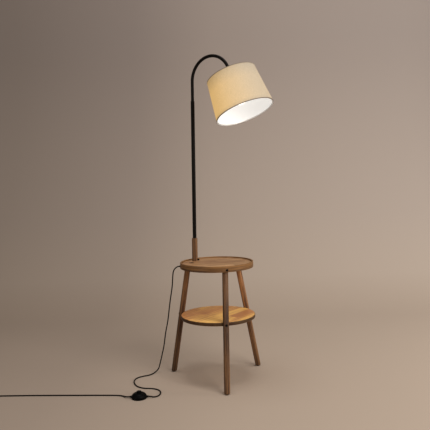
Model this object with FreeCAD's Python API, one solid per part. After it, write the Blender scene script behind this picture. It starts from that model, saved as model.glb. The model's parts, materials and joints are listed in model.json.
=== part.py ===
"""Floor lamp that grows out of a round two-tier side table: millimetres, +Z up.

The table's axis is the middle of the drawing while the pieces are made. Every piece is then shifted
so that the origin is the middle of the lamp's own footprint, on the floor.
"""

import FreeCAD, Part
import math
import os

from FreeCAD import Placement, Rotation, Vector

# ---- driving sizes -------------------------------------------------------------------------------

UP = Vector(0, 0, 1)

# clearances
GLUE_FIT = 0.15          # wood glued to wood
SLIDE_FIT = 0.2          # a tube in its hole, a leg in its seat
THREAD_FIT = 0.1         # a screw in its thread
BALL_FIT = 0.3           # a neck ball in its socket

# round table top
RIM_RADIUS = 180.0
RIM_WALL = 8.0
RIM_HEIGHT = 28.5
RIM_TOP = 580.0
RIM_ROUND = 2.0
TRAY_DEPTH = 6.0
TRAY_THICK = 6.0
CABLE_HOLE_RADIUS = 10.0
CABLE_HOLE_X = -124.0
CABLE_HOLE_Y = 10.0

# shelf
SHELF_OVERHANG = 4.0     # beyond the tray's rim
SHELF_THICK = 18.0
SHELF_TOP = 318.0
SHELF_ROUND = 4.0

# three legs, splayed outwards and a little round the table
LEG_COUNT = 3
LEG_NAMES = ("front", "right", "left")
LEG_RADIUS = 14.0
LEG_ANGLE = -75.0        # direction of the front leg's top
LEG_TWIST = 8.0          # how far each foot stands round from its top
LEG_INSET = 31.0         # from the rim's face to a leg's middle, at the rim's lower edge
LEG_SPLAY = 106.0        # how much further out the middle of a foot stands than its top
LEG_ROUND = 7.0
BLOCK_WIDTH = 46.0
BLOCK_WRAP = 4.0
PAD_RADIUS = 6.6
PAD_THICK = 2.5
PAD_ROUND = 0.8
NAIL_RADIUS = 1.5
NAIL_LENGTH = 14.0

# black socket bolts of the table
BOLT_RADIUS = 3.0
BOLT_HEAD_RADIUS = 5.75
BOLT_HEAD_HEIGHT = 3.0
BOLT_SOCKET = 4.0
BOLT_HOLE_FIT = 0.25
RIM_BOLT_RISE = 10.0     # above the rim's lower edge
RIM_BOLT_LENGTH = 40.0
SHELF_BOLT_GRIP = 14.0   # length inside the shelf
SPOT_DEPTH = 2.5
INSERT_RADIUS = 4.5
INSERT_LENGTH = 12.0

# wooden post and black pole
POST_INSET = 54.3        # from the rim's face to the post's middle, along the left leg's direction
POST_ASIDE = 47.1        # from the left leg's plane to the post's middle
POST_RADIUS = 14.0
POST_HEIGHT = 116.0
POST_ROUND = 2.0
POLE_LEAN = 1.1          # degrees, towards the shade that it carries
ARM_ANGLE = -36.0        # direction in which the arm reaches out
POLE_RADIUS = 9.5
POLE_WALL = 1.2
POLE_TOP = 796.0         # above the tray
POLE_GAP = 0.4
POST_BOLT_RADIUS = 2.5
POST_BOLT_HEAD_RADIUS = 4.5
POST_BOLT_HEAD_HEIGHT = 9.0
POST_BOLT_SOCKET = 3.0
POST_BOLT_RISE = 6.5
POST_BOLT_ANGLE = 34.0
POST_BOLT_DEPTH = 8.4
PLATE_RADIUS = 24.0
PLATE_THICK = 2.5
SCREW_COUNT = 3
SCREW_RADIUS = 1.25
SCREW_HEAD_RADIUS = 2.6
SCREW_HEAD_HEIGHT = 2.0
SCREW_DEPTH = 26.0
SCREW_ANGLE = 50.0

# gooseneck: straight, then one arc, then straight into the shade
NECK_RADIUS = 7.7
NECK_ROOT_RADIUS = 7.05
NECK_BORE_RADIUS = 2.2
NECK_RISE = 95.0
NECK_BEND_RADIUS = 113.0
NECK_TURN = 156.5
NECK_DROP = 33.6
NECK_JOINTS = 12
NECK_GAP = 1.0           # from a joint's centre to the links on either side
NECK_BALL_RADIUS = 5.0
RIB_PITCH = 2.2
BUSH_DEPTH = 20.0
BUSH_FLANGE = 2.0
BUSH_CORD_DEPTH = 15.0
NECK_STOP = 5.0          # the neck ends this far above the shade's top edge

# lamp head, measured along its own axis down from the shade's top edge
FERRULE_RADIUS = 9.5
FERRULE_END = 10.0
CAP_RADIUS = 19.5
CAP_END = 36.0
CAP_WALL = 2.0
SPIGOT_RADIUS = 17.2
SPIGOT_START = 26.0
COLLAR_RADIUS = 21.0
COLLAR_END = 39.0
HOLDER_RADIUS = 17.4
HOLDER_END = 76.0
HOLDER_FLOOR = 46.0
HOLDER_BORE = 13.6
HUB_RADIUS = 28.0
HUB_THICK = 2.0
NUT_RADIUS = 24.0
NUT_HEIGHT = 7.0
BULB_CAP_RADIUS = 13.1
BULB_CAP_END = 74.0
BULB_RADIUS = 30.0
BULB_WIDEST = 118.0
BULB_END = 150.0
BULB_WALL = 1.0

# shade
SHADE_TOP_RADIUS = 119.5
SHADE_BOTTOM_RADIUS = 140.5
SHADE_HEIGHT = 194.5
SHADE_WALL = 1.2
RING_WIRE = 2.0
RING_INSET = 3.0
SPIDER_ARMS = 3

# mains lead
CORD_RADIUS = 3.0
EXIT_ANGLE = 186.0
EXIT_DROP = 5.0          # below the tray's underside
EXIT_LEAD_IN = 26.0      # straight run inside the rim
GROMMET_RADIUS = 4.4
GROMMET_FLANGE_RADIUS = 6.0
GROMMET_FLANGE = 1.5
CLIP_WALL = 1.0
CLIP_WIDTH = 8.0
CLIP_EAR = 8.0
UNDER_POST_DROP = 11.0   # where the lead turns under the post, below the tray's underside

# foot switch
SWITCH_X = -370.0
SWITCH_Y = -264.0
SWITCH_RADIUS = 34.5
SWITCH_BASE = 7.0
SWITCH_CROWN = 26.6
SWITCH_WALL = 2.3
SWITCH_SEAM = 0.2
BUTTON_RADIUS = 10.5
BUTTON_FIT = 0.4
BUTTON_FLANGE_RADIUS = 12.8
BUTTON_FLANGE = 1.6
BUTTON_UNDERSIDE = 21.4
BUTTON_TOP = 34.4
CONTACT_LENGTH = 22.0
CONTACT_WIDTH = 16.0
CONTACT_TOP = 15.0
SPRING_RADIUS = 6.0
SPRING_WALL = 1.0
SWITCH_SCREW_REACH = 20.0
SWITCH_SCREW_RADIUS = 1.4
SWITCH_SCREW_HEAD_RADIUS = 3.0
SWITCH_SCREW_HEAD = 2.0
SWITCH_SCREW_TOP = 17.0
SWITCH_BOSS_RADIUS = 4.0
RELIEF_RADIUS = 5.0
RELIEF_TIP_RADIUS = 3.9
RELIEF_INNER = 22.5
RELIEF_REACH = 43.0
LEAD_HEIGHT = 8.0        # of the lead's middle where it meets the switch

# coil of spare lead and its plug
COIL_X = -1100.0
COIL_Y = -232.5
COIL_OUTER_RADIUS = 39.5
COIL_TURNS = 4
COIL_PITCH = 6.5
COIL_LIFT = 1.1
TIE_WALL = 0.8
TIE_WIDTH = 10.0
TIE_FIT = 0.3
PLUG_X = -1178.0
PLUG_AXIS = 7.0
PLUG_LENGTH = 26.0
PLUG_WIDTH = 35.0
PLUG_THICK = 13.6
PLUG_REAR_WIDTH = 17.0
PLUG_REAR_THICK = 11.0
PLUG_ROUND = 3.0
PLUG_RELIEF_LENGTH = 24.0
PLUG_RELIEF_RADIUS = 5.0
PIN_RADIUS = 2.0
PIN_LENGTH = 19.0
PIN_SPACING = 19.0

# ---- sizes that follow from them -----------------------------------------------------------------

RIM_BOTTOM = RIM_TOP - RIM_HEIGHT
RIM_BORE = RIM_RADIUS - RIM_WALL
TRAY_FLOOR = RIM_TOP - TRAY_DEPTH
TRAY_UNDERSIDE = TRAY_FLOOR - TRAY_THICK
SHELF_BOTTOM = SHELF_TOP - SHELF_THICK
SHELF_MIDDLE = SHELF_TOP - SHELF_THICK / 2
RIM_BOLT_HEIGHT = RIM_BOTTOM + RIM_BOLT_RISE
SHELF_RADIUS = RIM_RADIUS + SHELF_OVERHANG
LEG_TOP_REACH = RIM_RADIUS - LEG_INSET
LEG_FOOT_REACH = LEG_TOP_REACH + LEG_SPLAY
POST_LEG_ANGLE = math.radians(LEG_ANGLE + 360.0 * (LEG_COUNT - 1) / LEG_COUNT)
POST_X = (RIM_RADIUS - POST_INSET) * math.cos(POST_LEG_ANGLE) + POST_ASIDE * math.sin(POST_LEG_ANGLE)
POST_Y = (RIM_RADIUS - POST_INSET) * math.sin(POST_LEG_ANGLE) - POST_ASIDE * math.cos(POST_LEG_ANGLE)
EXIT_HEIGHT = TRAY_UNDERSIDE - EXIT_DROP
UNDER_POST_LEVEL = TRAY_UNDERSIDE - UNDER_POST_DROP
POLE_BORE = POLE_RADIUS - POLE_WALL
NECK_START = POLE_TOP + BUSH_FLANGE
NECK_LENGTH = NECK_RISE + NECK_BEND_RADIUS * math.radians(NECK_TURN) + NECK_DROP
NECK_PITCH = NECK_LENGTH / NECK_JOINTS
SHADE_TAPER = (SHADE_BOTTOM_RADIUS - SHADE_TOP_RADIUS) / SHADE_HEIGHT
CORD_END = Vector(SWITCH_X + RELIEF_REACH, SWITCH_Y, LEAD_HEIGHT)
RUN_START = Vector(SWITCH_X - RELIEF_REACH, SWITCH_Y, LEAD_HEIGHT)
COIL_LEVEL = COIL_LIFT + CORD_RADIUS
COIL_START = Vector(COIL_X, COIL_Y + COIL_OUTER_RADIUS, COIL_LEVEL)

# ---- the lead's route, chosen by hand ------------------------------------------------------------


def radial(reach, degrees, height):
    """A point at this reach from the table's axis."""
    angle = math.radians(degrees)
    return Vector(reach * math.cos(angle), reach * math.sin(angle), height)


EXIT_POINT = radial(RIM_RADIUS + GROMMET_FLANGE, EXIT_ANGLE, EXIT_HEIGHT)

UNDER_TRAY_ROUTE = [
    Vector(POST_X + 9, POST_Y - 32, UNDER_POST_LEVEL + 0.6),
    Vector(POST_X + 12, POST_Y - 64, UNDER_POST_LEVEL + 2),
    Vector(POST_X - 4, POST_Y - 87, UNDER_POST_LEVEL + 4),
    radial(RIM_BORE - EXIT_LEAD_IN, EXIT_ANGLE, EXIT_HEIGHT),
    EXIT_POINT,
]

DROP_ROUTE = [
    EXIT_POINT,
    radial(RIM_RADIUS + GROMMET_FLANGE + 14, EXIT_ANGLE, EXIT_HEIGHT),
    Vector(-209, -19, 544),
    Vector(-217, -14, 512),
    Vector(-222, -4, 464),
    Vector(-230, 6, 413),
    Vector(-238, 15, 365),
    Vector(-252, 33, 282),
    Vector(-268, 45, 216),
    Vector(-277, 57, 153),
    Vector(-292, 71, 94),
    Vector(-306, 83, 44),
    Vector(-316, 86, 14),
    Vector(-334, 68, 3),
    Vector(-356, 39, 3),
    Vector(-390, 25, 3),
    Vector(-416, 2, 3),
    Vector(-424, -38, 3),
    Vector(-416, -78, 3),
    Vector(-398, -121, 3),
    Vector(-361, -148, 3),
    Vector(-322, -150, 3),
    Vector(-289, -171, 3),
    Vector(-275.5, -203, 3),
    Vector(-278, -236, 3),
    Vector(-290, -257, 3),
    Vector(-304, -265.5, 4.5),
    Vector(CORD_END.x + 7, CORD_END.y, CORD_END.z),
    CORD_END,
]

RUN_ROUTE = [
    RUN_START,
    Vector(RUN_START.x - 13, RUN_START.y, RUN_START.z),
    Vector(-441, -244, 4),
    Vector(-457, -231, 3),
    Vector(-488, -227, 3),
    Vector(-555, -221, 3),
    Vector(-630, -216, 3),
    Vector(-710, -210, 3),
    Vector(-790, -204.5, 3),
    Vector(-870, -199.5, 3),
    Vector(-950, -196, 3),
    Vector(-1020, -193.8, 3),
    Vector(COIL_X + 26, COIL_START.y, COIL_LEVEL),
    Vector(COIL_X + 2 * CORD_RADIUS, COIL_START.y, COIL_LEVEL),
]

# ---- small helpers -------------------------------------------------------------------------------

pieces = {}
loose_nodes = []


def keep(name, shape, loose=False):
    """Registers a piece under its node's name. Loose pieces lie on or hang from the lamp's lead."""
    pieces[name] = shape
    if loose:
        loose_nodes.append(name)


def rod(radius, start, end):
    """Solid round bar from one point to another."""
    axis = end - start
    return Part.makeCylinder(radius, axis.Length, start, axis)


def pipe(radius, bore, start, end):
    return rod(radius, start, end).cut(rod(bore, start, end))


def turned(profile):
    """Solid turned about +Z from a closed outline of (radius, height) pairs."""
    corners = [Vector(radius, 0, height) for radius, height in profile]
    outline = Part.makePolygon(corners + corners[:1])
    return Part.Face(outline).revolve(Vector(), UP, 360)


def turned_wire(edges):
    """Solid turned about +Z from edges that already close an outline."""
    return Part.Face(Part.Wire(edges)).revolve(Vector(), UP, 360)


def placed(shape, place):
    moved = shape.copy()
    moved.Placement = place.multiply(moved.Placement)
    return moved


def level_edges(shape, height):
    """The edges that lie flat at one height."""
    found = []
    for edge in shape.Edges:
        box = edge.BoundBox
        if abs(box.ZMin - height) < 0.01 and abs(box.ZMax - height) < 0.01:
            found.append(edge)
    return found


def facing(point, direction):
    """Placement that puts +Z along the direction, at the point."""
    return Placement(point, Rotation(UP, direction))


def hexagon_prism(across_flats, height):
    corner = across_flats / 2 / math.cos(math.radians(30))
    corners = [Vector(corner * math.cos(math.radians(60 * i)), corner * math.sin(math.radians(60 * i)), 0)
               for i in range(6)]
    return Part.Face(Part.makePolygon(corners + corners[:1])).extrude(UP * height)


def socket_bolt(radius, length, head_radius, head_height, across_flats):
    """Low round head above z = 0 with a hexagon socket, shank below it."""
    head = Part.makeCylinder(head_radius, head_height)
    head = head.makeFillet(head_height * 0.4, level_edges(head, head_height))
    socket_depth = head_height * 0.65
    socket = hexagon_prism(across_flats, head_height)
    socket.translate(UP * (head_height - socket_depth))
    shank = Part.makeCylinder(radius, length, Vector(), Vector(0, 0, -1))
    return head.cut(socket).fuse(shank).removeSplitter()


def one_solid(shape):
    """The single solid of a boolean result."""
    return shape.removeSplitter().Solids[0]


# ---- legs ----------------------------------------------------------------------------------------


def leg_point(index, height):
    """Point on a leg's axis at this height."""
    turn = LEG_ANGLE + index * 360.0 / LEG_COUNT
    foot = radial(LEG_FOOT_REACH, turn - LEG_TWIST, 0)
    top = radial(LEG_TOP_REACH, turn, RIM_BOTTOM)
    return foot + (top - foot) * (height / RIM_BOTTOM)


def leg_bar(index, radius, low, high):
    """Round bar along a leg's axis, longer than the leg, for the leg itself and for its seats."""
    return rod(radius, leg_point(index, low - 2 * LEG_RADIUS), leg_point(index, high + 2 * LEG_RADIUS))


def outward(index, height):
    """Level direction from the table's axis to a leg."""
    point = leg_point(index, height)
    return Vector(point.x, point.y, 0).normalize()


def leg_face_reach(index, height):
    """Distance from the table's axis to a leg's outer face, and to its inner face."""
    direction = outward(index, height)
    along = (leg_point(index, RIM_BOTTOM) - leg_point(index, 0)).normalize()
    half = LEG_RADIUS / math.sqrt(1 - along.dot(direction) ** 2)
    centre = leg_point(index, height).dot(direction)
    return centre + half, centre - half


def level_axis(index, height, start, end, radius):
    """Bar along the level line through a leg, between two reaches from the table's axis."""
    direction = outward(index, height)
    return rod(radius, direction * start + UP * height, direction * end + UP * height)


def rim_insert_span(index):
    outer, inner = leg_face_reach(index, RIM_BOLT_HEIGHT)
    return outer - INSERT_LENGTH - 1.0, outer - 1.0


def shelf_bolt_seat(index):
    """Reach of the flat on which a shelf bolt's head sits, cut into the leg's outer face."""
    outer, inner = leg_face_reach(index, SHELF_MIDDLE)
    return outer - SPOT_DEPTH


def shelf_insert_span(index):
    outer, inner = leg_face_reach(index, SHELF_MIDDLE)
    return inner - 1.0 - INSERT_LENGTH, inner - 1.0


def make_leg(index):
    leg = leg_bar(index, LEG_RADIUS, PAD_THICK, TRAY_UNDERSIDE)
    reach = LEG_FOOT_REACH + 4 * LEG_RADIUS
    slab = Part.makeCylinder(reach, TRAY_UNDERSIDE - PAD_THICK, UP * PAD_THICK)
    leg = leg.common(slab)
    leg = leg.makeFillet(LEG_ROUND, level_edges(leg, PAD_THICK))
    low, high = rim_insert_span(index)
    bolt_end = RIM_RADIUS - RIM_BOLT_LENGTH
    leg = leg.cut(level_axis(index, RIM_BOLT_HEIGHT, low, high + 2 * LEG_RADIUS, INSERT_RADIUS + GLUE_FIT))
    leg = leg.cut(level_axis(index, RIM_BOLT_HEIGHT, bolt_end - 2.0, low, BOLT_RADIUS + BOLT_HOLE_FIT))
    seat = shelf_bolt_seat(index)
    leg = leg.cut(level_axis(index, SHELF_MIDDLE, seat, seat + 2 * LEG_RADIUS, BOLT_HEAD_RADIUS + 0.5))
    leg = leg.cut(level_axis(index, SHELF_MIDDLE, seat - 4 * LEG_RADIUS, seat, BOLT_RADIUS + BOLT_HOLE_FIT))
    foot = leg_point(index, PAD_THICK)
    leg = leg.cut(rod(NAIL_RADIUS + GLUE_FIT, foot, foot + UP * (NAIL_LENGTH + 1.0)))
    return one_solid(leg)


def make_pad(index):
    """Foot pad with its nail."""
    pad = Part.makeCylinder(PAD_RADIUS, PAD_THICK)
    pad = pad.makeFillet(PAD_ROUND, level_edges(pad, 0))
    nail = rod(NAIL_RADIUS, UP * (PAD_THICK / 2), UP * (PAD_THICK + NAIL_LENGTH))
    pad = pad.fuse(nail).removeSplitter()
    foot = leg_point(index, PAD_THICK)
    pad.translate(Vector(foot.x, foot.y, 0))
    return pad


def make_block(index):
    """Saddle block between the rim and a leg's top."""
    low = RIM_BOTTOM + RIM_ROUND
    high = TRAY_UNDERSIDE
    inner = LEG_TOP_REACH - BLOCK_WRAP
    block = Part.makeBox(RIM_RADIUS - inner, BLOCK_WIDTH, high - low, Vector(inner, -BLOCK_WIDTH / 2, low))
    direction = outward(index, RIM_BOLT_HEIGHT)
    block.rotate(Vector(), UP, math.degrees(math.atan2(direction.y, direction.x)))
    block = block.common(Part.makeCylinder(RIM_BORE - GLUE_FIT, high - low, UP * low))
    block = block.cut(leg_bar(index, LEG_RADIUS + SLIDE_FIT, low, high))
    hole = level_axis(index, RIM_BOLT_HEIGHT, inner, RIM_RADIUS, BOLT_RADIUS + BOLT_HOLE_FIT)
    return max(block.cut(hole).Solids, key=lambda solid: solid.Volume)


def make_rim_bolt(index):
    direction = outward(index, RIM_BOLT_HEIGHT)
    bolt = socket_bolt(BOLT_RADIUS, RIM_BOLT_LENGTH, BOLT_HEAD_RADIUS, BOLT_HEAD_HEIGHT, BOLT_SOCKET)
    return placed(bolt, facing(direction * RIM_RADIUS + UP * RIM_BOLT_HEIGHT, direction))


def make_shelf_bolt(index):
    direction = outward(index, SHELF_MIDDLE)
    seat = shelf_bolt_seat(index)
    low, high = shelf_insert_span(index)
    length = seat - high + SHELF_BOLT_GRIP - 2.0
    bolt = socket_bolt(BOLT_RADIUS, length, BOLT_HEAD_RADIUS, BOLT_HEAD_HEIGHT, BOLT_SOCKET)
    return placed(bolt, facing(direction * seat + UP * SHELF_MIDDLE, direction))


def make_insert(index, height, span):
    """Threaded insert round a bolt."""
    bore = level_axis(index, height, span[0], span[1], BOLT_RADIUS + THREAD_FIT)
    return level_axis(index, height, span[0], span[1], INSERT_RADIUS).cut(bore)


# ---- table top and shelf -------------------------------------------------------------------------


def make_rim():
    rim = pipe(RIM_RADIUS, RIM_BORE, UP * RIM_BOTTOM, UP * RIM_TOP)
    rim = rim.makeFillet(RIM_ROUND, level_edges(rim, RIM_TOP) + level_edges(rim, RIM_BOTTOM))
    for index in range(LEG_COUNT):
        hole = level_axis(index, RIM_BOLT_HEIGHT, RIM_BORE - 5, RIM_RADIUS + 5, BOLT_RADIUS + BOLT_HOLE_FIT)
        rim = rim.cut(hole)
    start = radial(RIM_BORE - 5, EXIT_ANGLE, EXIT_HEIGHT)
    end = radial(RIM_RADIUS + 5, EXIT_ANGLE, EXIT_HEIGHT)
    return one_solid(rim.cut(rod(GROMMET_RADIUS + GLUE_FIT, start, end)))


def make_panel():
    panel = Part.makeCylinder(RIM_BORE - GLUE_FIT, TRAY_THICK, UP * TRAY_UNDERSIDE)
    cable_hole = Vector(CABLE_HOLE_X, CABLE_HOLE_Y, TRAY_UNDERSIDE)
    panel = panel.cut(rod(CABLE_HOLE_RADIUS, cable_hole, cable_hole + UP * TRAY_THICK))
    post = Vector(POST_X, POST_Y, TRAY_UNDERSIDE)
    panel = panel.cut(rod(CORD_RADIUS + 1.5, post, post + UP * TRAY_THICK))
    for hole in post_screw_bars(SCREW_RADIUS + THREAD_FIT):
        panel = panel.cut(hole)
    return one_solid(panel)


def make_shelf():
    shelf = Part.makeCylinder(SHELF_RADIUS, SHELF_THICK, UP * SHELF_BOTTOM)
    edges = level_edges(shelf, SHELF_TOP) + level_edges(shelf, SHELF_BOTTOM)
    shelf = shelf.makeFillet(SHELF_ROUND, edges)
    for index in range(LEG_COUNT):
        low, high = shelf_insert_span(index)
        shelf = shelf.cut(leg_bar(index, LEG_RADIUS + SLIDE_FIT, SHELF_BOTTOM, SHELF_TOP))
        shelf = shelf.cut(level_axis(index, SHELF_MIDDLE, low, high + 5, INSERT_RADIUS + GLUE_FIT))
        shelf = shelf.cut(level_axis(index, SHELF_MIDDLE, low - 4, low, BOLT_RADIUS + BOLT_HOLE_FIT))
    return max(shelf.Solids, key=lambda solid: solid.Volume)


# ---- post and pole, in the arm's own frame: +Z up the pole, +X towards the shade -------------------

ARM = Placement(Vector(POST_X, POST_Y, TRAY_FLOOR),
                Rotation(UP, ARM_ANGLE).multiply(Rotation(Vector(0, 1, 0), POLE_LEAN)))


def post_screw_bars(radius):
    """Upright bars where the screws go from the plate up into the post."""
    bars = []
    reach = (POST_RADIUS + POLE_RADIUS) / 2
    start = TRAY_UNDERSIDE - PLATE_THICK
    for index in range(SCREW_COUNT):
        angle = math.radians(SCREW_ANGLE + index * 360.0 / SCREW_COUNT)
        spot = Vector(POST_X + reach * math.cos(angle), POST_Y + reach * math.sin(angle), start)
        bars.append(rod(radius, spot, spot + UP * SCREW_DEPTH))
    return bars


def post_bolt_place():
    direction = Vector(math.cos(math.radians(POST_BOLT_ANGLE)), math.sin(math.radians(POST_BOLT_ANGLE)), 0)
    return facing(direction * POST_RADIUS + UP * POST_BOLT_RISE, direction)


def make_post():
    """Wooden sleeve round the pole's foot, cut level where it stands on the tray."""
    post = pipe(POST_RADIUS, POLE_RADIUS + SLIDE_FIT, UP * -5, UP * POST_HEIGHT)
    post = post.makeFillet(POST_ROUND, [edge for edge in level_edges(post, POST_HEIGHT)
                                        if edge.BoundBox.XMax > POST_RADIUS - 1])
    bolt_hole = Part.makeCylinder(POST_BOLT_RADIUS + BOLT_HOLE_FIT, POST_RADIUS, Vector(), Vector(0, 0, -1))
    post = placed(post.cut(placed(bolt_hole, post_bolt_place())), ARM)
    below = Part.makeCylinder(2 * POST_RADIUS, POST_RADIUS, Vector(POST_X, POST_Y, TRAY_FLOOR - POST_RADIUS))
    post = post.cut(below)
    for hole in post_screw_bars(SCREW_RADIUS + THREAD_FIT):
        post = post.cut(hole)
    return one_solid(post)


def make_pole():
    pole = pipe(POLE_RADIUS, POLE_BORE, UP * POLE_GAP, UP * POLE_TOP)
    thread = Part.makeCylinder(POST_BOLT_RADIUS + THREAD_FIT, POST_RADIUS, Vector(), Vector(0, 0, -1))
    return placed(one_solid(pole.cut(placed(thread, post_bolt_place()))), ARM)


def make_post_bolt():
    bolt = socket_bolt(POST_BOLT_RADIUS, POST_BOLT_DEPTH, POST_BOLT_HEAD_RADIUS,
                       POST_BOLT_HEAD_HEIGHT, POST_BOLT_SOCKET)
    return placed(placed(bolt, post_bolt_place()), ARM)


def make_post_plate():
    top = Vector(POST_X, POST_Y, TRAY_UNDERSIDE)
    plate = rod(PLATE_RADIUS, top - UP * PLATE_THICK, top)
    plate = plate.cut(rod(CORD_RADIUS + 1.5, top - UP * PLATE_THICK, top))
    for hole in post_screw_bars(SCREW_RADIUS + THREAD_FIT):
        plate = plate.cut(hole)
    return one_solid(plate)


def make_post_screws():
    screws = []
    for shank in post_screw_bars(SCREW_RADIUS):
        centre = shank.BoundBox.Center
        under = Vector(centre.x, centre.y, shank.BoundBox.ZMin)
        head = rod(SCREW_HEAD_RADIUS, under - UP * SCREW_HEAD_HEIGHT, under)
        head = head.makeFillet(SCREW_HEAD_HEIGHT * 0.5, level_edges(head, under.z - SCREW_HEAD_HEIGHT))
        screws.append(head.fuse(shank).removeSplitter())
    return Part.makeCompound(screws)


def make_bush():
    """Bush in the pole's top that carries the neck."""
    low = POLE_TOP - BUSH_DEPTH
    bush = turned([
        (NECK_BORE_RADIUS, NECK_START),
        (POLE_RADIUS, NECK_START),
        (POLE_RADIUS, POLE_TOP),
        (POLE_BORE - THREAD_FIT, POLE_TOP),
        (POLE_BORE - THREAD_FIT, low),
        (CORD_RADIUS + THREAD_FIT, low),
        (CORD_RADIUS + THREAD_FIT, low + BUSH_CORD_DEPTH),
        (NECK_BORE_RADIUS, low + BUSH_CORD_DEPTH),
    ])
    return placed(bush, ARM)


# ---- gooseneck -----------------------------------------------------------------------------------


def neck_place(distance):
    """Placement on the neck's middle line: +Z runs along the neck, +Y stays square to its bend."""
    turn = min(max((distance - NECK_RISE) / NECK_BEND_RADIUS, 0.0), math.radians(NECK_TURN))
    rise = min(distance, NECK_RISE)
    past = max(distance - NECK_RISE - NECK_BEND_RADIUS * math.radians(NECK_TURN), 0.0)
    x = NECK_BEND_RADIUS * (1 - math.cos(turn)) + past * math.sin(turn)
    z = NECK_START + rise + NECK_BEND_RADIUS * math.sin(turn) + past * math.cos(turn)
    return ARM.multiply(Placement(Vector(x, 0, z), Rotation(Vector(0, 1, 0), math.degrees(turn))))


def joint_distance(number):
    return NECK_PITCH * (number - 0.5)


def neck_circle(distance, radius):
    circle = Part.makeCircle(radius)
    circle.Placement = neck_place(distance)
    return Part.Wire(circle)


def neck_tube(start, end, radius, steps):
    """Smooth bar along the neck's middle line."""
    rings = [neck_circle(start + (end - start) * step / steps, radius) for step in range(steps + 1)]
    return Part.makeLoft(rings, True, True)


def ribbed_bar(start, end):
    """Bar along the neck's middle line with a rib at every pitch."""
    ribs = max(round((end - start) / RIB_PITCH), 1)
    pitch = (end - start) / ribs
    rings = []
    for rib in range(ribs):
        low = start + rib * pitch
        rings.append(neck_circle(low, NECK_ROOT_RADIUS))
        rings.append(neck_circle(low + 0.18 * pitch, NECK_RADIUS))
        rings.append(neck_circle(low + 0.62 * pitch, NECK_RADIUS))
        rings.append(neck_circle(low + 0.80 * pitch, NECK_ROOT_RADIUS))
    rings.append(neck_circle(end, NECK_ROOT_RADIUS))
    return Part.makeLoft(rings, True, True)


def make_link(number):
    """One link of the neck: a ball at its lower end, a socket for the next ball at its upper end."""
    first = number == 0
    last = number == NECK_JOINTS
    start = 0.0 if first else joint_distance(number) + NECK_GAP
    end = NECK_LENGTH if last else joint_distance(number + 1) - NECK_GAP
    link = ribbed_bar(start, end)
    bore_start = start
    if not first:
        centre = neck_place(joint_distance(number)).Base
        link = link.fuse(Part.makeSphere(NECK_BALL_RADIUS, centre))
        bore_start = joint_distance(number) - NECK_BALL_RADIUS - 1.0
    if not last:
        centre = neck_place(joint_distance(number + 1)).Base
        link = link.cut(Part.makeSphere(NECK_BALL_RADIUS + BALL_FIT, centre))
    bore = neck_tube(bore_start - 1.0, end + 1.0, NECK_BORE_RADIUS, 6)
    return max(link.cut(bore).Solids, key=lambda solid: solid.Volume)


# ---- lamp head, in its own frame: +Z down the shade's axis from its top edge ------------------------

HEAD = neck_place(NECK_LENGTH + NECK_STOP)


def make_ferrule():
    ferrule = turned([
        (NECK_BORE_RADIUS, -NECK_STOP),
        (FERRULE_RADIUS - 1, -NECK_STOP),
        (FERRULE_RADIUS, -NECK_STOP + 1),
        (FERRULE_RADIUS, FERRULE_END),
        (NECK_BORE_RADIUS, FERRULE_END),
    ])
    return placed(ferrule, HEAD)


def make_holder_cap():
    shoulder = FERRULE_END + 10.0
    cap = turned([
        (NECK_BORE_RADIUS, FERRULE_END),
        (FERRULE_RADIUS, FERRULE_END),
        (CAP_RADIUS - 3, FERRULE_END + 4),
        (CAP_RADIUS, shoulder),
        (CAP_RADIUS, CAP_END),
        (CAP_RADIUS - CAP_WALL, CAP_END),
        (CAP_RADIUS - CAP_WALL, shoulder + 1),
        (CAP_RADIUS - 4.5, FERRULE_END + 4 + CAP_WALL),
        (NECK_BORE_RADIUS, FERRULE_END + CAP_WALL + 1),
    ])
    return placed(cap, HEAD)


def make_holder_body():
    body = turned([
        (0, SPIGOT_START),
        (SPIGOT_RADIUS, SPIGOT_START),
        (SPIGOT_RADIUS, CAP_END),
        (COLLAR_RADIUS, CAP_END),
        (COLLAR_RADIUS, COLLAR_END),
        (HOLDER_RADIUS, COLLAR_END),
        (HOLDER_RADIUS, HOLDER_END),
        (HOLDER_BORE, HOLDER_END),
        (HOLDER_BORE, HOLDER_FLOOR),
        (0, HOLDER_FLOOR),
    ])
    return placed(body, HEAD)


def make_shade_nut():
    start = COLLAR_END + HUB_THICK
    nut = pipe(NUT_RADIUS, HOLDER_RADIUS + THREAD_FIT, UP * start, UP * (start + NUT_HEIGHT))
    grip = Part.makeCylinder(1.2, NUT_HEIGHT, Vector(NUT_RADIUS, 0, start))
    for index in range(24):
        notch = grip.copy()
        notch.rotate(Vector(), UP, index * 15.0)
        nut = nut.cut(notch)
    return placed(one_solid(nut), HEAD)


def shade_inner_radius(depth):
    return SHADE_TOP_RADIUS + SHADE_TAPER * depth - SHADE_WALL


def make_spider():
    """Upper ring of the shade, with arms down to a hub that the shade nut clamps."""
    ring_radius = shade_inner_radius(RING_INSET) - RING_WIRE - SLIDE_FIT
    spider = pipe(HUB_RADIUS, HOLDER_RADIUS + SLIDE_FIT, UP * COLLAR_END, UP * (COLLAR_END + HUB_THICK))
    hub_point = Vector(HUB_RADIUS - 1.5, 0, COLLAR_END + HUB_THICK / 2)
    ring_point = Vector(ring_radius, 0, RING_INSET)
    for index in range(SPIDER_ARMS):
        arm = rod(RING_WIRE * 0.9, hub_point, ring_point)
        arm.rotate(Vector(), UP, index * 360.0 / SPIDER_ARMS)
        spider = spider.fuse(arm)
    spider = spider.fuse(Part.makeTorus(ring_radius, RING_WIRE, UP * RING_INSET, UP))
    return placed(one_solid(spider), HEAD)


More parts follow.
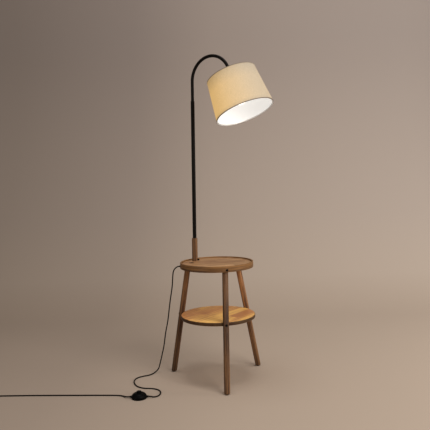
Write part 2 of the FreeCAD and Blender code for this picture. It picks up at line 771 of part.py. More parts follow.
def make_shade():
    shade = turned([
        (SHADE_TOP_RADIUS, 0),
        (SHADE_BOTTOM_RADIUS, SHADE_HEIGHT),
        (SHADE_BOTTOM_RADIUS - SHADE_WALL, SHADE_HEIGHT),
        (SHADE_TOP_RADIUS - SHADE_WALL, 0),
    ])
    return placed(shade, HEAD)


def make_lower_ring():
    depth = SHADE_HEIGHT - RING_INSET
    # the wall slopes, so the wire touches it above the ring's own level
    reach = shade_inner_radius(depth) - RING_WIRE * math.sqrt(1 + SHADE_TAPER ** 2) - SLIDE_FIT
    return placed(Part.makeTorus(reach, RING_WIRE, UP * depth, UP), HEAD)


def make_bulb_cap():
    start = HOLDER_FLOOR + SLIDE_FIT
    cap = turned([
        (0, start),
        (4, start),
        (4.5, start + 2),
        (BULB_CAP_RADIUS - 1.5, start + 4),
        (BULB_CAP_RADIUS, start + 6),
        (BULB_CAP_RADIUS, BULB_CAP_END),
        (0, BULB_CAP_END),
    ])
    return placed(cap, HEAD)


def bulb_curve(inset):
    """Outline of the bulb's glass, from its neck to its crown."""
    neck = BULB_CAP_RADIUS - 0.3 - inset
    points = [
        Vector(neck, 0, BULB_CAP_END),
        Vector(neck + 1.5, 0, BULB_CAP_END + 8),
        Vector(BULB_RADIUS * 0.86 - inset, 0, BULB_WIDEST - 17),
        Vector(BULB_RADIUS - inset, 0, BULB_WIDEST),
        Vector(BULB_RADIUS * 0.76 - inset, 0, BULB_END - 10 - inset * 0.7),
        Vector(0, 0, BULB_END - inset),
    ]
    curve = Part.BSplineCurve()
    curve.interpolate(Points=points, InitialTangent=Vector(0, 0, 10), FinalTangent=Vector(-30, 0, 0))
    return curve.toShape(), points[0], points[-1]


def make_bulb():
    outer, outer_neck, outer_crown = bulb_curve(0)
    inner, inner_neck, inner_crown = bulb_curve(BULB_WALL)
    crown = Part.makeLine(outer_crown, inner_crown)
    neck = Part.makeLine(inner_neck, outer_neck)
    return placed(turned_wire([outer, crown, inner, neck]), HEAD)


# ---- lead ----------------------------------------------------------------------------------------


def soft_edges(route, tight=None):
    """Straight runs joined by tangent arcs, each arc as large as its two runs allow."""
    edges = []
    radii = []
    here = route[0]
    for before, corner, after in zip(route, route[1:], route[2:]):
        arriving = corner - before
        leaving = after - corner
        turn = arriving.getAngle(leaving)
        setback = 0.45 * min(arriving.Length, leaving.Length)
        if tight and corner == tight[0]:
            setback = tight[1] * math.tan(turn / 2)
        radius = setback / math.tan(turn / 2)
        arriving.normalize()
        leaving.normalize()
        start = corner - arriving * setback
        end = corner + leaving * setback
        inward = (leaving - arriving).normalize()
        middle = corner + inward * (radius / math.cos(turn / 2) - radius)
        edges.append(Part.LineSegment(here, start).toShape())
        edges.append(Part.Arc(start, middle, end).toShape())
        radii.append(radius)
        here = end
    edges.append(Part.LineSegment(here, route[-1]).toShape())
    return edges, radii


def swept(edges):
    """Round tube of the lead's size along a chain of edges."""
    path = Part.Wire(edges)
    direction = edges[0].tangentAt(edges[0].FirstParameter)
    start = edges[0].valueAt(edges[0].FirstParameter)
    ring = Part.Wire(Part.makeCircle(CORD_RADIUS, start, direction))
    return path.makePipeShell([ring], True, False), path.Length


def lead(name, route, tight=None):
    """Makes a plain stretch of the lead and prints its bends and its volume."""
    edges, radii = soft_edges(route, tight)
    tube, length = swept(edges)
    expected = math.pi * CORD_RADIUS ** 2 * length
    print(name, "length %.1f" % length, "tightest %.1f" % min(radii),
          "volume / section x length %.4f" % (tube.Volume / expected))
    print("   radii", " ".join("%.0f" % radius for radius in radii))
    return tube


def make_inner_lead():
    """The lead where the lamp holds it: down the pole, under the tray and out through the rim."""
    top = ARM.multVec(UP * (POLE_TOP - BUSH_DEPTH + BUSH_CORD_DEPTH - 1.0))
    depth = (TRAY_FLOOR - UNDER_POST_LEVEL) / math.cos(math.radians(POLE_LEAN))
    corner = ARM.multVec(UP * -depth)
    return lead("inner lead", [top, corner] + UNDER_TRAY_ROUTE, tight=(corner, 1.5 * 2 * CORD_RADIUS))


def make_grommet():
    direction = radial(1, EXIT_ANGLE, 0)
    grommet = turned([
        (CORD_RADIUS + THREAD_FIT, -RIM_WALL - 0.5),
        (GROMMET_RADIUS, -RIM_WALL - 0.5),
        (GROMMET_RADIUS, 0),
        (GROMMET_FLANGE_RADIUS, 0),
        (GROMMET_FLANGE_RADIUS, GROMMET_FLANGE * 0.5),
        (GROMMET_FLANGE_RADIUS - 1, GROMMET_FLANGE),
        (CORD_RADIUS + THREAD_FIT, GROMMET_FLANGE),
    ])
    return placed(grommet, facing(direction * RIM_RADIUS + UP * EXIT_HEIGHT, direction))


def make_clip(before, after):
    """Saddle clip that holds the lead to the underside of the tray, half way between two points."""
    middle = (before + after) * 0.5
    run = Vector(after.x - before.x, after.y - before.y, 0).normalize()
    half = CLIP_WIDTH / 2
    bore = CORD_RADIUS + SLIDE_FIT
    outer = bore + CLIP_WALL
    rise = TRAY_UNDERSIDE - middle.z
    clip = Part.makeCylinder(outer, CLIP_WIDTH, Vector(0, 0, -half))
    clip = clip.fuse(Part.makeBox(rise, 2 * outer, CLIP_WIDTH, Vector(0, -outer, -half)))
    ear = Part.makeBox(CLIP_WALL, 2 * (outer + CLIP_EAR), CLIP_WIDTH,
                       Vector(rise - CLIP_WALL, -outer - CLIP_EAR, -half))
    clip = clip.fuse(ear)
    clip = clip.cut(Part.makeCylinder(bore, CLIP_WIDTH, Vector(0, 0, -half)))
    clip = clip.cut(Part.makeBox(rise, 2 * bore, CLIP_WIDTH, Vector(0, -bore, -half)))
    # local +X is up, local +Z is along the lead
    across = UP.cross(run) * -1
    place = Placement(FreeCAD.Matrix(
        0, across.x, run.x, middle.x,
        0, across.y, run.y, middle.y,
        1, across.z, run.z, middle.z,
        0, 0, 0, 1))
    return placed(clip.removeSplitter(), place)


# ---- foot switch, in its own frame: origin on the floor under its button -----------------------------

SWITCH = Placement(Vector(SWITCH_X, SWITCH_Y, 0), Rotation())


def relief_bars(radius):
    """Bars along the two places where the lead goes in."""
    reach = SWITCH_RADIUS + 10
    return rod(radius, Vector(-reach, 0, LEAD_HEIGHT), Vector(reach, 0, LEAD_HEIGHT)).cut(
        rod(radius, Vector(-RELIEF_INNER, 0, LEAD_HEIGHT), Vector(RELIEF_INNER, 0, LEAD_HEIGHT)))


def switch_screw_spots():
    return [Vector(0, side * SWITCH_SCREW_REACH, 0) for side in (-1, 1)]


def make_switch_base():
    base = turned([
        (0, 0),
        (SWITCH_RADIUS - 1.5, 0),
        (SWITCH_RADIUS, 1.5),
        (SWITCH_RADIUS, SWITCH_BASE),
        (0, SWITCH_BASE),
    ])
    base = base.cut(relief_bars(RELIEF_RADIUS + THREAD_FIT))
    for spot in switch_screw_spots():
        base = base.cut(rod(SWITCH_SCREW_HEAD_RADIUS + 0.3, spot, spot + UP * (SWITCH_SCREW_HEAD + 0.6)))
        base = base.cut(rod(SWITCH_SCREW_RADIUS + THREAD_FIT, spot, spot + UP * SWITCH_BASE))
    return placed(one_solid(base), SWITCH)


def dome(radius, crown, mouth):
    """Edges of a dome's outline from its foot to the mouth that the button comes out of."""
    low = SWITCH_BASE + SWITCH_SEAM
    foot = Vector(radius, 0, low)
    hip = Vector(radius, 0, low + (crown - low) * 0.22)
    flank = Vector(radius * 0.80, 0, low + (crown - low) * 0.74)
    lip = Vector(mouth, 0, crown)
    return [Part.makeLine(foot, hip), Part.Arc(hip, flank, lip).toShape()], foot, lip


def make_switch_cover():
    mouth = BUTTON_RADIUS + BUTTON_FIT
    outer, outer_foot, outer_lip = dome(SWITCH_RADIUS, SWITCH_CROWN, mouth)
    inner, inner_foot, inner_lip = dome(SWITCH_RADIUS - SWITCH_WALL, SWITCH_CROWN - SWITCH_WALL, mouth)
    ends = [Part.makeLine(outer_lip, inner_lip), Part.makeLine(inner_foot, outer_foot)]
    cover = turned_wire([outer[0], outer[1], ends[0], inner[1], inner[0], ends[1]])
    axis = [Part.makeLine(outer_lip, Vector(0, 0, outer_lip.z)),
            Part.makeLine(Vector(0, 0, outer_lip.z), Vector(0, 0, outer_foot.z)),
            Part.makeLine(Vector(0, 0, outer_foot.z), outer_foot)]
    full_dome = turned_wire(outer + axis)
    low = UP * (SWITCH_BASE + SWITCH_SEAM)
    for spot in switch_screw_spots():
        boss = rod(SWITCH_BOSS_RADIUS, spot + low, spot + UP * SWITCH_CROWN).common(full_dome)
        cover = cover.fuse(boss)
        cover = cover.cut(rod(SWITCH_SCREW_RADIUS + THREAD_FIT, spot + low, spot + UP * (SWITCH_SCREW_TOP + 1)))
    return placed(one_solid(cover.cut(relief_bars(RELIEF_RADIUS + THREAD_FIT))), SWITCH)


def make_button():
    neck = BUTTON_UNDERSIDE + BUTTON_FLANGE
    button = turned([
        (0, BUTTON_UNDERSIDE),
        (BUTTON_FLANGE_RADIUS, BUTTON_UNDERSIDE),
        (BUTTON_FLANGE_RADIUS, neck),
        (BUTTON_RADIUS, neck),
        (BUTTON_RADIUS, BUTTON_TOP - 1.6),
        (BUTTON_RADIUS - 0.7, BUTTON_TOP - 0.6),
        (BUTTON_RADIUS - 2.2, BUTTON_TOP),
        (0, BUTTON_TOP),
    ])
    return placed(button, SWITCH)


def make_contacts():
    block = Part.makeBox(CONTACT_LENGTH, CONTACT_WIDTH, CONTACT_TOP - SWITCH_BASE,
                         Vector(-CONTACT_LENGTH / 2, -CONTACT_WIDTH / 2, SWITCH_BASE))
    return placed(block, SWITCH)


def make_switch_spring():
    inner = SPRING_RADIUS - SPRING_WALL
    return placed(pipe(SPRING_RADIUS, inner, UP * CONTACT_TOP, UP * BUTTON_UNDERSIDE), SWITCH)


def make_switch_screws():
    screws = []
    for spot in switch_screw_spots():
        head_low = spot + UP * 0.6
        head_high = head_low + UP * SWITCH_SCREW_HEAD
        head = rod(SWITCH_SCREW_HEAD_RADIUS, head_low, head_high)
        screws.append(head.fuse(rod(SWITCH_SCREW_RADIUS, head_low, spot + UP * SWITCH_SCREW_TOP)).removeSplitter())
    return placed(Part.makeCompound(screws), SWITCH)


def make_reliefs():
    relief = turned([
        (0, RELIEF_INNER),
        (RELIEF_RADIUS, RELIEF_INNER),
        (RELIEF_RADIUS, SWITCH_RADIUS + 1),
        (RELIEF_TIP_RADIUS, RELIEF_REACH),
        (0, RELIEF_REACH),
    ])
    sides = []
    for direction in (Vector(1, 0, 0), Vector(-1, 0, 0)):
        sides.append(placed(relief, facing(UP * LEAD_HEIGHT, direction)))
    return placed(Part.makeCompound(sides), SWITCH)


# ---- coil and plug -------------------------------------------------------------------------------


def coil_point(turns):
    """Middle line of the coil: in, up a layer while it reverses, and out again."""
    reach = COIL_OUTER_RADIUS - COIL_PITCH * min(turns, COIL_TURNS - turns)
    climb = min(max((turns - COIL_TURNS / 2) / 0.5 + 0.5, 0.0), 1.0)
    angle = math.radians(90 + 360 * turns)
    return Vector(COIL_X + reach * math.cos(angle), COIL_Y + reach * math.sin(angle),
                  COIL_LEVEL + COIL_PITCH * climb)


def coil_heading(turns):
    """Direction of the coil's middle line, level everywhere but half way up its climb."""
    if turns in (0, COIL_TURNS):
        return Vector(-1, 0, 0)
    step = 0.01
    heading = coil_point(turns + step) - coil_point(turns - step)
    if abs(turns - COIL_TURNS / 2) > 0.01:
        heading.z = 0
    return heading.normalize()


def biarc(start, start_heading, end, end_heading):
    """Two tangent arcs from one point and heading to another."""
    chord = end - start
    total = start_heading + end_heading
    a = 2 * (1 - start_heading.dot(end_heading))
    b = 2 * chord.dot(total)
    reach = (-b + math.sqrt(b * b + 4 * a * chord.dot(chord))) / (2 * a)
    knee = (start + end + (start_heading - end_heading) * reach) * 0.5
    return [tangent_arc(start, start_heading, knee), tangent_arc(end, end_heading * -1, knee, True)]


def tangent_arc(start, heading, end, backwards=False):
    """Arc that leaves a point along a heading and ends at another point."""
    chord = end - start
    half_turn = heading.getAngle(chord)
    side = (chord - heading * chord.dot(heading)).normalize()
    radius = chord.Length / 2 / math.sin(half_turn)
    middle = start + side * radius * (1 - math.cos(half_turn)) + heading * radius * math.sin(half_turn)
    if backwards:
        return Part.Arc(end, middle, start).toShape()
    return Part.Arc(start, middle, end).toShape()


def make_coil():
    edges = []
    quarters = COIL_TURNS * 4
    for quarter in range(quarters):
        low = quarter / 4
        high = (quarter + 1) / 4
        edges += biarc(coil_point(low), coil_heading(low), coil_point(high), coil_heading(high))
    lead_in = Part.makeLine(COIL_START + Vector(2 * CORD_RADIUS, 0, 0), COIL_START)
    lead_out = Part.makeLine(coil_point(COIL_TURNS), coil_point(COIL_TURNS) - Vector(2 * CORD_RADIUS, 0, 0))
    tube, length = swept([lead_in] + edges + [lead_out])
    samples = []
    for edge in edges:
        for step in range(8):
            at = edge.FirstParameter + (edge.LastParameter - edge.FirstParameter) * step / 8
            samples.append(edge.valueAt(at))
    far = 12
    least = min((samples[i] - samples[j]).Length
                for i in range(len(samples)) for j in range(i + far, len(samples)))
    print("coil length %.1f" % length, "least gap to itself %.2f" % (least - 2 * CORD_RADIUS),
          "volume / section x length %.4f" % (tube.Volume / (math.pi * CORD_RADIUS ** 2 * length)))
    return tube


def make_tie():
    """Flat tie round the coil's turns, on the side nearest the front."""
    inner = COIL_OUTER_RADIUS - COIL_PITCH * COIL_TURNS / 2 - CORD_RADIUS - TIE_FIT
    outer = COIL_OUTER_RADIUS + CORD_RADIUS + TIE_FIT
    low = COIL_LIFT - TIE_FIT
    high = COIL_LEVEL + COIL_PITCH + CORD_RADIUS + TIE_FIT
    box = Part.makeBox(TIE_WIDTH, outer - inner + 2 * TIE_WALL, high - low + 2 * TIE_WALL,
                       Vector(COIL_X - TIE_WIDTH / 2, COIL_Y - outer - TIE_WALL, low - TIE_WALL))
    hole = Part.makeBox(TIE_WIDTH, outer - inner, high - low,
                        Vector(COIL_X - TIE_WIDTH / 2, COIL_Y - outer, low))
    return box.cut(hole)


def plug_section(x, width, thick):
    """Upright rounded section of the plug."""
    half_width = width / 2
    half_thick = thick / 2
    corners = [Vector(x, COIL_START.y + side * half_width, PLUG_AXIS + rise * half_thick)
               for side, rise in ((-1, -0.45), (-0.72, -1), (0.72, -1), (1, -0.45),
                                  (1, 0.45), (0.72, 1), (-0.72, 1), (-1, 0.45))]
    return Part.makePolygon(corners + corners[:1])


def make_plug_body():
    """Moulded plug with its own bend relief."""
    rear = plug_section(PLUG_X, PLUG_REAR_WIDTH, PLUG_REAR_THICK)
    waist = plug_section(PLUG_X - PLUG_LENGTH * 0.6, PLUG_WIDTH * 0.94, PLUG_THICK)
    face = plug_section(PLUG_X - PLUG_LENGTH, PLUG_WIDTH, PLUG_THICK)
    moulding = Part.makeLoft([rear, waist, face], True, True)
    relief = turned([
        (0, -2),
        (PLUG_RELIEF_RADIUS, -2),
        (PLUG_RELIEF_RADIUS, 0),
        (CORD_RADIUS + 0.8, PLUG_RELIEF_LENGTH),
        (0, PLUG_RELIEF_LENGTH),
    ])
    relief = placed(relief, facing(plug_point(PLUG_X), Vector(1, 0, 0)))
    return one_solid(moulding.fuse(relief))


def plug_point(x):
    return Vector(x, COIL_START.y, PLUG_AXIS)


def make_pins():
    face = PLUG_X - PLUG_LENGTH
    pins = []
    for side in (-0.5, 0.5):
        offset = Vector(0, side * PIN_SPACING, 0)
        pin = rod(PIN_RADIUS, plug_point(face) + offset, plug_point(face - PIN_LENGTH) + offset)
        tip = [edge for edge in pin.Edges if edge.BoundBox.XMax < face - PIN_LENGTH + 0.01]
        pins.append(pin.makeChamfer(0.6, tip))
    return Part.makeCompound(pins)


def tail_route():
    """From the coil's upper layer down to the plug on the floor."""
    start = coil_point(COIL_TURNS) - Vector(2 * CORD_RADIUS, 0, 0)
    end = plug_point(PLUG_X + PLUG_RELIEF_LENGTH)
    square = Vector((end.x - start.x) * 0.27, 0, 0)
    return [start, start + square, end - square, end]


# ---- every piece -------------------------------------------------------------------------------------

LEGS = range(LEG_COUNT)

keep("tray_rim", make_rim())
keep("tray_panel", make_panel())
keep("shelf", make_shelf())
for leg_index, leg_name in enumerate(LEG_NAMES):
    keep("leg_" + leg_name, make_leg(leg_index))
    keep("leg_block_" + leg_name, make_block(leg_index))
    keep("foot_pad_" + leg_name, make_pad(leg_index))
keep("rim_bolts", Part.makeCompound([make_rim_bolt(i) for i in LEGS]))
keep("shelf_bolts", Part.makeCompound([make_shelf_bolt(i) for i in LEGS]))
keep("thread_inserts", Part.makeCompound(
    [make_insert(i, RIM_BOLT_HEIGHT, rim_insert_span(i)) for i in LEGS]
    + [make_insert(i, SHELF_MIDDLE, shelf_insert_span(i)) for i in LEGS]))

keep("post_sleeve", make_post())
keep("post_bolt", make_post_bolt())
keep("post_plate", make_post_plate())
keep("post_screws", make_post_screws())
keep("pole", make_pole())
keep("pole_bush", make_bush())
for link_number in range(NECK_JOINTS + 1):
    keep("neck_link_%02d" % link_number, make_link(link_number))

keep("neck_ferrule", make_ferrule())
keep("holder_cap", make_holder_cap())
keep("holder_body", make_holder_body())
keep("shade_nut", make_shade_nut())
keep("shade_spider", make_spider())
keep("shade", make_shade())
keep("shade_lower_ring", make_lower_ring())
keep("bulb_cap", make_bulb_cap())
keep("bulb_glass", make_bulb())

keep("lead_inside", make_inner_lead())
keep("lead_clips", Part.makeCompound([
    make_clip(UNDER_TRAY_ROUTE[0], UNDER_TRAY_ROUTE[1]),
    make_clip(UNDER_TRAY_ROUTE[2], UNDER_TRAY_ROUTE[3]),
]))
keep("rim_grommet", make_grommet())
keep("cord_drop", lead("drop", DROP_ROUTE), loose=True)

keep("switch_base", make_switch_base(), loose=True)
keep("switch_cover", make_switch_cover(), loose=True)
keep("switch_button", make_button(), loose=True)
keep("switch_contacts", make_contacts(), loose=True)
keep("switch_spring", make_switch_spring(), loose=True)
keep("switch_screws", make_switch_screws(), loose=True)
keep("switch_reliefs", make_reliefs(), loose=True)

keep("cord_run", lead("run", RUN_ROUTE), loose=True)
keep("cord_coil", make_coil(), loose=True)
keep("coil_tie", make_tie(), loose=True)
keep("cord_tail", lead("tail", tail_route()), loose=True)
keep("plug_body", make_plug_body(), loose=True)
keep("plug_pins", make_pins(), loose=True)

# ---- the origin and the files ------------------------------------------------------------------------


def footprint_middle():
    """Middle of the lamp's own box on the floor, its lead left out."""
    lamp = Part.makeCompound([shape for name, shape in pieces.items() if name not in loose_nodes])
    box = lamp.optimalBoundingBox(False)
    return Vector(box.Center.x, box.Center.y, 0)


ORIGIN = footprint_middle()

if __name__ == "__main__":
    os.makedirs("parts", exist_ok=True)
    print("origin from the table's axis: %.3f, %.3f" % (ORIGIN.x, ORIGIN.y))
    for node, shape in pieces.items():
        moved = shape.translated(ORIGIN * -1)
        moved.exportStep("parts/%s.step" % node)
        if not moved.isValid():
            print("not valid:", node)
    print(len(pieces), "nodes")
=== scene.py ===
"""Finishes for a round wooden tray table that carries a gooseneck reading lamp.

The packed model is the frame. Table, post and fittings keep their solids and get their finishes;
the neck's hose, the shade's cloth and the mains lead are made here.
"""

import json
import math

import bmesh
import bpy
from mathutils import Matrix, Vector


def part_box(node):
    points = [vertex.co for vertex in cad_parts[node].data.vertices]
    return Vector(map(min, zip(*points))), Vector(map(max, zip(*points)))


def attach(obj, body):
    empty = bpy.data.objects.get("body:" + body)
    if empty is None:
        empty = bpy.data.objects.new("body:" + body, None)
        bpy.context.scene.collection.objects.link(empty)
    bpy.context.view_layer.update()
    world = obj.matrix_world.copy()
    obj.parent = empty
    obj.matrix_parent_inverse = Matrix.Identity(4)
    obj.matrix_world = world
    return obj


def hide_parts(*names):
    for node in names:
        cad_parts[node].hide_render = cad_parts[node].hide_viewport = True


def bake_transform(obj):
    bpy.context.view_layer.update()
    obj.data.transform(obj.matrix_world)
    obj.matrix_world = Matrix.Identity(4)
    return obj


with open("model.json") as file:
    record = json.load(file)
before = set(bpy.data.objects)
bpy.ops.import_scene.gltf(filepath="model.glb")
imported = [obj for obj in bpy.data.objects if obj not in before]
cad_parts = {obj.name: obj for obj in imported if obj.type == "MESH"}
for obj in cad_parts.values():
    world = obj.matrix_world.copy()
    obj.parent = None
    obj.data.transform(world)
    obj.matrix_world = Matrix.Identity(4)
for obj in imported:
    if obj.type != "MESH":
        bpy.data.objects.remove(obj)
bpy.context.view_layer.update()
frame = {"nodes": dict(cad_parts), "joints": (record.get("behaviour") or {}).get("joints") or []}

bl_info = {
    "name": "Tray Table Lamp",
    "version": (1, 0, 0),
    "blender": (4, 5, 0),
    "location": "View3D > Sidebar > Lamp",
    "description": "Dresses a tray table with a gooseneck lamp",
    "category": "Object",
}

# ---- places taken from the frame -----------------------------------------------------------------

UP = Vector((0.0, 0.0, 1.0))
JOINTS = {joint["name"]: joint for joint in frame["joints"]}
NECK_JOINTS = 12


def node_centre(node):
    """Middle of a node's box."""
    low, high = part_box(node)
    return (low + high) / 2


TABLE_CENTRE = node_centre("tray_rim")
TABLE_AXIS = Vector((TABLE_CENTRE.x, TABLE_CENTRE.y, 0.0))


def on_table(x, y, z):
    """A point given in millimetres from the table's axis and the floor, in the frame's metres."""
    return TABLE_AXIS + Vector((x, y, z)) / 1000


def matrix_of(*columns):
    """Matrix from its X, Y and Z axes and its place."""
    matrix = Matrix.Identity(4)
    for column, vector in enumerate(columns):
        for row in range(3):
            matrix[row][column] = vector[row]
    return matrix


# ---- sizes and colours that a user would change --------------------------------------------------


def colour_setting(name, description, value):
    return bpy.props.FloatVectorProperty(
        name=name, description=description, default=value, subtype="COLOR", size=3, min=0, max=1
    )


def length_setting(name, description, value):
    return bpy.props.FloatProperty(
        name=name, description=description, default=value, unit="LENGTH", subtype="DISTANCE", min=0
    )


def angle_setting(name, description, degrees):
    return bpy.props.FloatProperty(
        name=name, description=description, default=math.radians(degrees), subtype="ANGLE"
    )


def power_setting(name, description, watts):
    return bpy.props.FloatProperty(name=name, description=description, default=watts, min=0)


class WoodSettings(bpy.types.PropertyGroup):
    """Tones of the oiled hardwood"""

    tray_light: colour_setting("Tray light", "Lightest tone of the tray", (0.54, 0.32, 0.155))
    tray_dark: colour_setting("Tray dark", "Darkest tone of the tray", (0.26, 0.132, 0.060))
    # The shelf's tones are far lighter than the tray's: painted light on the shelf, which stands
    # for light reaching it under the tray
    shelf_light: colour_setting("Shelf light", "Lightest tone of the shelf", (1.0, 0.60, 0.175))
    shelf_dark: colour_setting("Shelf dark", "Darkest tone of the shelf", (0.58, 0.255, 0.096))
    # Tint of the sawn edges: oil-soaked end grain, and painted shade on the panels' side faces
    end_grain_and_shade: colour_setting("End grain", "Tint of oil-soaked sawn edges", (0.062, 0.050, 0.055))
    rim_light: colour_setting("Rim light", "Lightest tone of the rim", (0.215, 0.104, 0.034))
    rim_dark: colour_setting("Rim dark", "Darkest tone of the rim", (0.040, 0.016, 0.006))
    leg_light: colour_setting("Leg light", "Lightest tone of legs and post", (0.245, 0.116, 0.044))
    leg_dark: colour_setting("Leg dark", "Darkest tone of legs and post", (0.045, 0.019, 0.009))
    # Painted shade inside the cable hole and round its edge
    hole_shade: colour_setting("Hole", "Stained wall of the cable hole", (0.012, 0.006, 0.003))
    board_width: length_setting("Board width", "Width of the boards glued into a panel", 0.052)
    tray_turn: angle_setting("Tray boards", "Turn of the tray's boards from the X axis", 18)
    shelf_turn: angle_setting("Shelf boards", "Turn of the shelf's boards from the X axis", 52)


class NeckSettings(bpy.types.PropertyGroup):
    """Wound steel hose of the neck"""

    radius: length_setting("Radius", "Outer radius over the windings", 0.0077)
    winding: length_setting("Winding", "Distance from one winding to the next", 0.0033)
    groove: length_setting("Groove", "Depth between the windings", 0.00055)
    colour: colour_setting("Colour", "Black of the pole and the neck", (0.0032, 0.0022, 0.0014))


class ShadeSettings(bpy.types.PropertyGroup):
    """Drum shade"""

    top_radius: length_setting("Top radius", "Radius of the upper edge", 0.1195)
    bottom_radius: length_setting("Bottom radius", "Radius of the lower edge", 0.1405)
    height: length_setting("Height", "Height along the shade's axis", 0.1945)
    wall: length_setting("Wall", "Thickness of cloth and lining together", 0.0012)
    hem: length_setting("Hem", "Width of the turned edges", 0.006)
    cloth: colour_setting("Cloth", "Linen cloth", (0.315, 0.29, 0.25))
    glow: colour_setting("Glow", "Light that comes through the cloth", (1.0, 0.60, 0.17))
    # Painted shade on the doubled edges, where the glow doesn't come through
    hem_shade: colour_setting("Hem tone", "Tint of the doubled edges", (0.55, 0.47, 0.40))
    lining: colour_setting("Lining", "Inside of the shade", (0.62, 0.61, 0.59))


class LeadSettings(bpy.types.PropertyGroup):
    """Mains lead"""

    diameter: length_setting("Diameter", "Diameter of the lead", 0.006)
    colour: colour_setting("Colour", "Sheath of the lead", (0.0010, 0.0010, 0.0010))
    coil_radius: length_setting("Coil radius", "Radius of the tied lead's outer turn", 0.0395)
    coil_pitch: length_setting("Coil pitch", "Distance between turns side by side", 0.0065)
    coil_turns: bpy.props.IntProperty(
        name="Coil turns", description="Turns of the tied lead, half on top", default=4, min=2
    )


class StudioSettings(bpy.types.PropertyGroup):
    """Floor, lights and camera"""

    backdrop: colour_setting("Backdrop", "Floor and wall", (0.40, 0.335, 0.28))
    surroundings: colour_setting("Surroundings", "Room past the backdrop", (0.28, 0.25, 0.22))
    key_power: power_setting("Key", "Power of the main light", 350)
    side_power: power_setting("Side", "Power of the light at the right", 30)
    fill_power: power_setting("Fill", "Power of the light at the left", 30)
    top_power: power_setting("Top", "Power of the light overhead", 110)
    focal_length: bpy.props.FloatProperty(
        name="Focal length", description="Lens of the camera", default=49.98, unit="CAMERA"
    )


def settings(kind):
    return getattr(bpy.context.scene, kind)


# ---- materials -----------------------------------------------------------------------------------


class Finish:
    """A node material with short calls for the nodes that the finishes share."""

    def __init__(self, name, roughness=0.5, colour=None):
        self.material = bpy.data.materials.new(name)
        self.material.use_nodes = True
        self.nodes = self.material.node_tree.nodes
        self.links = self.material.node_tree.links
        self.shader = self.nodes["Principled BSDF"]
        self.shader.inputs["Roughness"].default_value = roughness
        if colour is not None:
            self.shader.inputs["Base Color"].default_value = (*colour, 1)
            self.material.diffuse_color = (*colour, 1)

    def add(self, kind, inputs=None, **values):
        node = self.nodes.new(kind)
        for key, value in values.items():
            setattr(node, key, value)
        for key, value in (inputs or {}).items():
            if isinstance(value, bpy.types.NodeSocket):
                self.links.new(value, node.inputs[key])
            else:
                node.inputs[key].default_value = value
        return node

    def stretch(self, vector, scale):
        return self.add("ShaderNodeMapping", {"Vector": vector, "Scale": scale}).outputs[0]

    def place(self, location=(0, 0, 0), rotation=(0, 0, 0), scale=(1, 1, 1)):
        """Object coordinates, moved, turned and stretched."""
        source = self.add("ShaderNodeTexCoord").outputs["Object"]
        shift = self.add(
            "ShaderNodeVectorMath", {0: source, 1: tuple(location)}, operation="SUBTRACT"
        )
        return self.add(
            "ShaderNodeMapping", {"Vector": shift.outputs[0], "Rotation": rotation, "Scale": scale}
        ).outputs[0]

    def cloth(self):
        """The shade's own UV map, in metres round it and down it."""
        return self.add("ShaderNodeUVMap", uv_map="cloth").outputs[0]

    def parts(self, vector):
        """X, Y and Z of a vector."""
        return self.add("ShaderNodeSeparateXYZ", {0: vector}).outputs

    def reach(self, axis):
        """Distance in metres from an upright axis."""
        flat = self.stretch(self.place(location=axis), (1, 1, 0))
        return self.add("ShaderNodeVectorMath", {0: flat}, operation="LENGTH").outputs["Value"]

    def math(self, operation, first, second=0.0, third=0.0):
        node = self.add("ShaderNodeMath", {0: first, 1: second, 2: third}, operation=operation)
        return node.outputs[0]

    def vary(self, tone, pattern, share):
        """A tone, lighter or darker by a share of a pattern that runs from 0 to 1."""
        return self.math("MULTIPLY_ADD", pattern, share, self.math("SUBTRACT", tone, share / 2))

    def noise(self, vector, scale, detail=4.0, roughness=0.5, distortion=0.0):
        return self.add(
            "ShaderNodeTexNoise",
            {
                "Vector": vector, "Scale": scale, "Detail": detail, "Roughness": roughness,
                "Distortion": distortion,
            },
        ).outputs[0]

    def ramp(self, factor, *stops):
        """Blend between stops, each a position with a colour or a grey."""
        node = self.add("ShaderNodeValToRGB", {"Fac": factor})
        stripes = node.color_ramp.elements
        while len(stripes) < len(stops):
            stripes.new(0.5)
        for stripe, (position, colour) in zip(stripes, stops):
            stripe.position = position
            stripe.color = (*(colour if hasattr(colour, "__len__") else [colour] * 3), 1)
        return node.outputs[0]

    def mix(self, factor, first, second, blend="MIX"):
        node = self.add("ShaderNodeMix", data_type="RGBA", blend_type=blend)
        for index, value in ((0, factor), (6, first), (7, second)):
            if isinstance(value, bpy.types.NodeSocket):
                self.links.new(value, node.inputs[index])
            elif index == 0:
                node.inputs[index].default_value = value
            else:
                node.inputs[index].default_value = (*value, 1)
        return node.outputs[2]

    def set(self, socket, value):
        if isinstance(value, bpy.types.NodeSocket):
            self.links.new(value, self.shader.inputs[socket])
        else:
            self.shader.inputs[socket].default_value = value

    def base_tone(self):
        """What feeds the base colour so far."""
        return self.shader.inputs["Base Color"].links[0].from_socket

    def bump(self, height, distance, strength=1.0):
        node = self.add(
            "ShaderNodeBump", {"Height": height, "Distance": distance, "Strength": strength}
        )
        self.links.new(node.outputs[0], self.shader.inputs["Normal"])

    def skin(self, pattern, depth, strength, sheen, smooth, rough):
        """Low bumps and uneven gloss; smooth and rough are stops of the pattern."""
        self.bump(pattern, depth, strength)
        self.set("Specular IOR Level", sheen)
        self.set("Roughness", self.ramp(pattern, smooth, rough))

    def clear_from_behind(self):
        """A sheet that hides nothing from a camera behind it."""
        behind = self.add("ShaderNodeNewGeometry").outputs["Backfacing"]
        clear = self.add("ShaderNodeBsdfTransparent").outputs[0]
        joined = self.add(
            "ShaderNodeMixShader", {0: behind, 1: self.shader.outputs[0], 2: clear}
        )
        self.links.new(joined.outputs[0], self.nodes["Material Output"].inputs["Surface"])


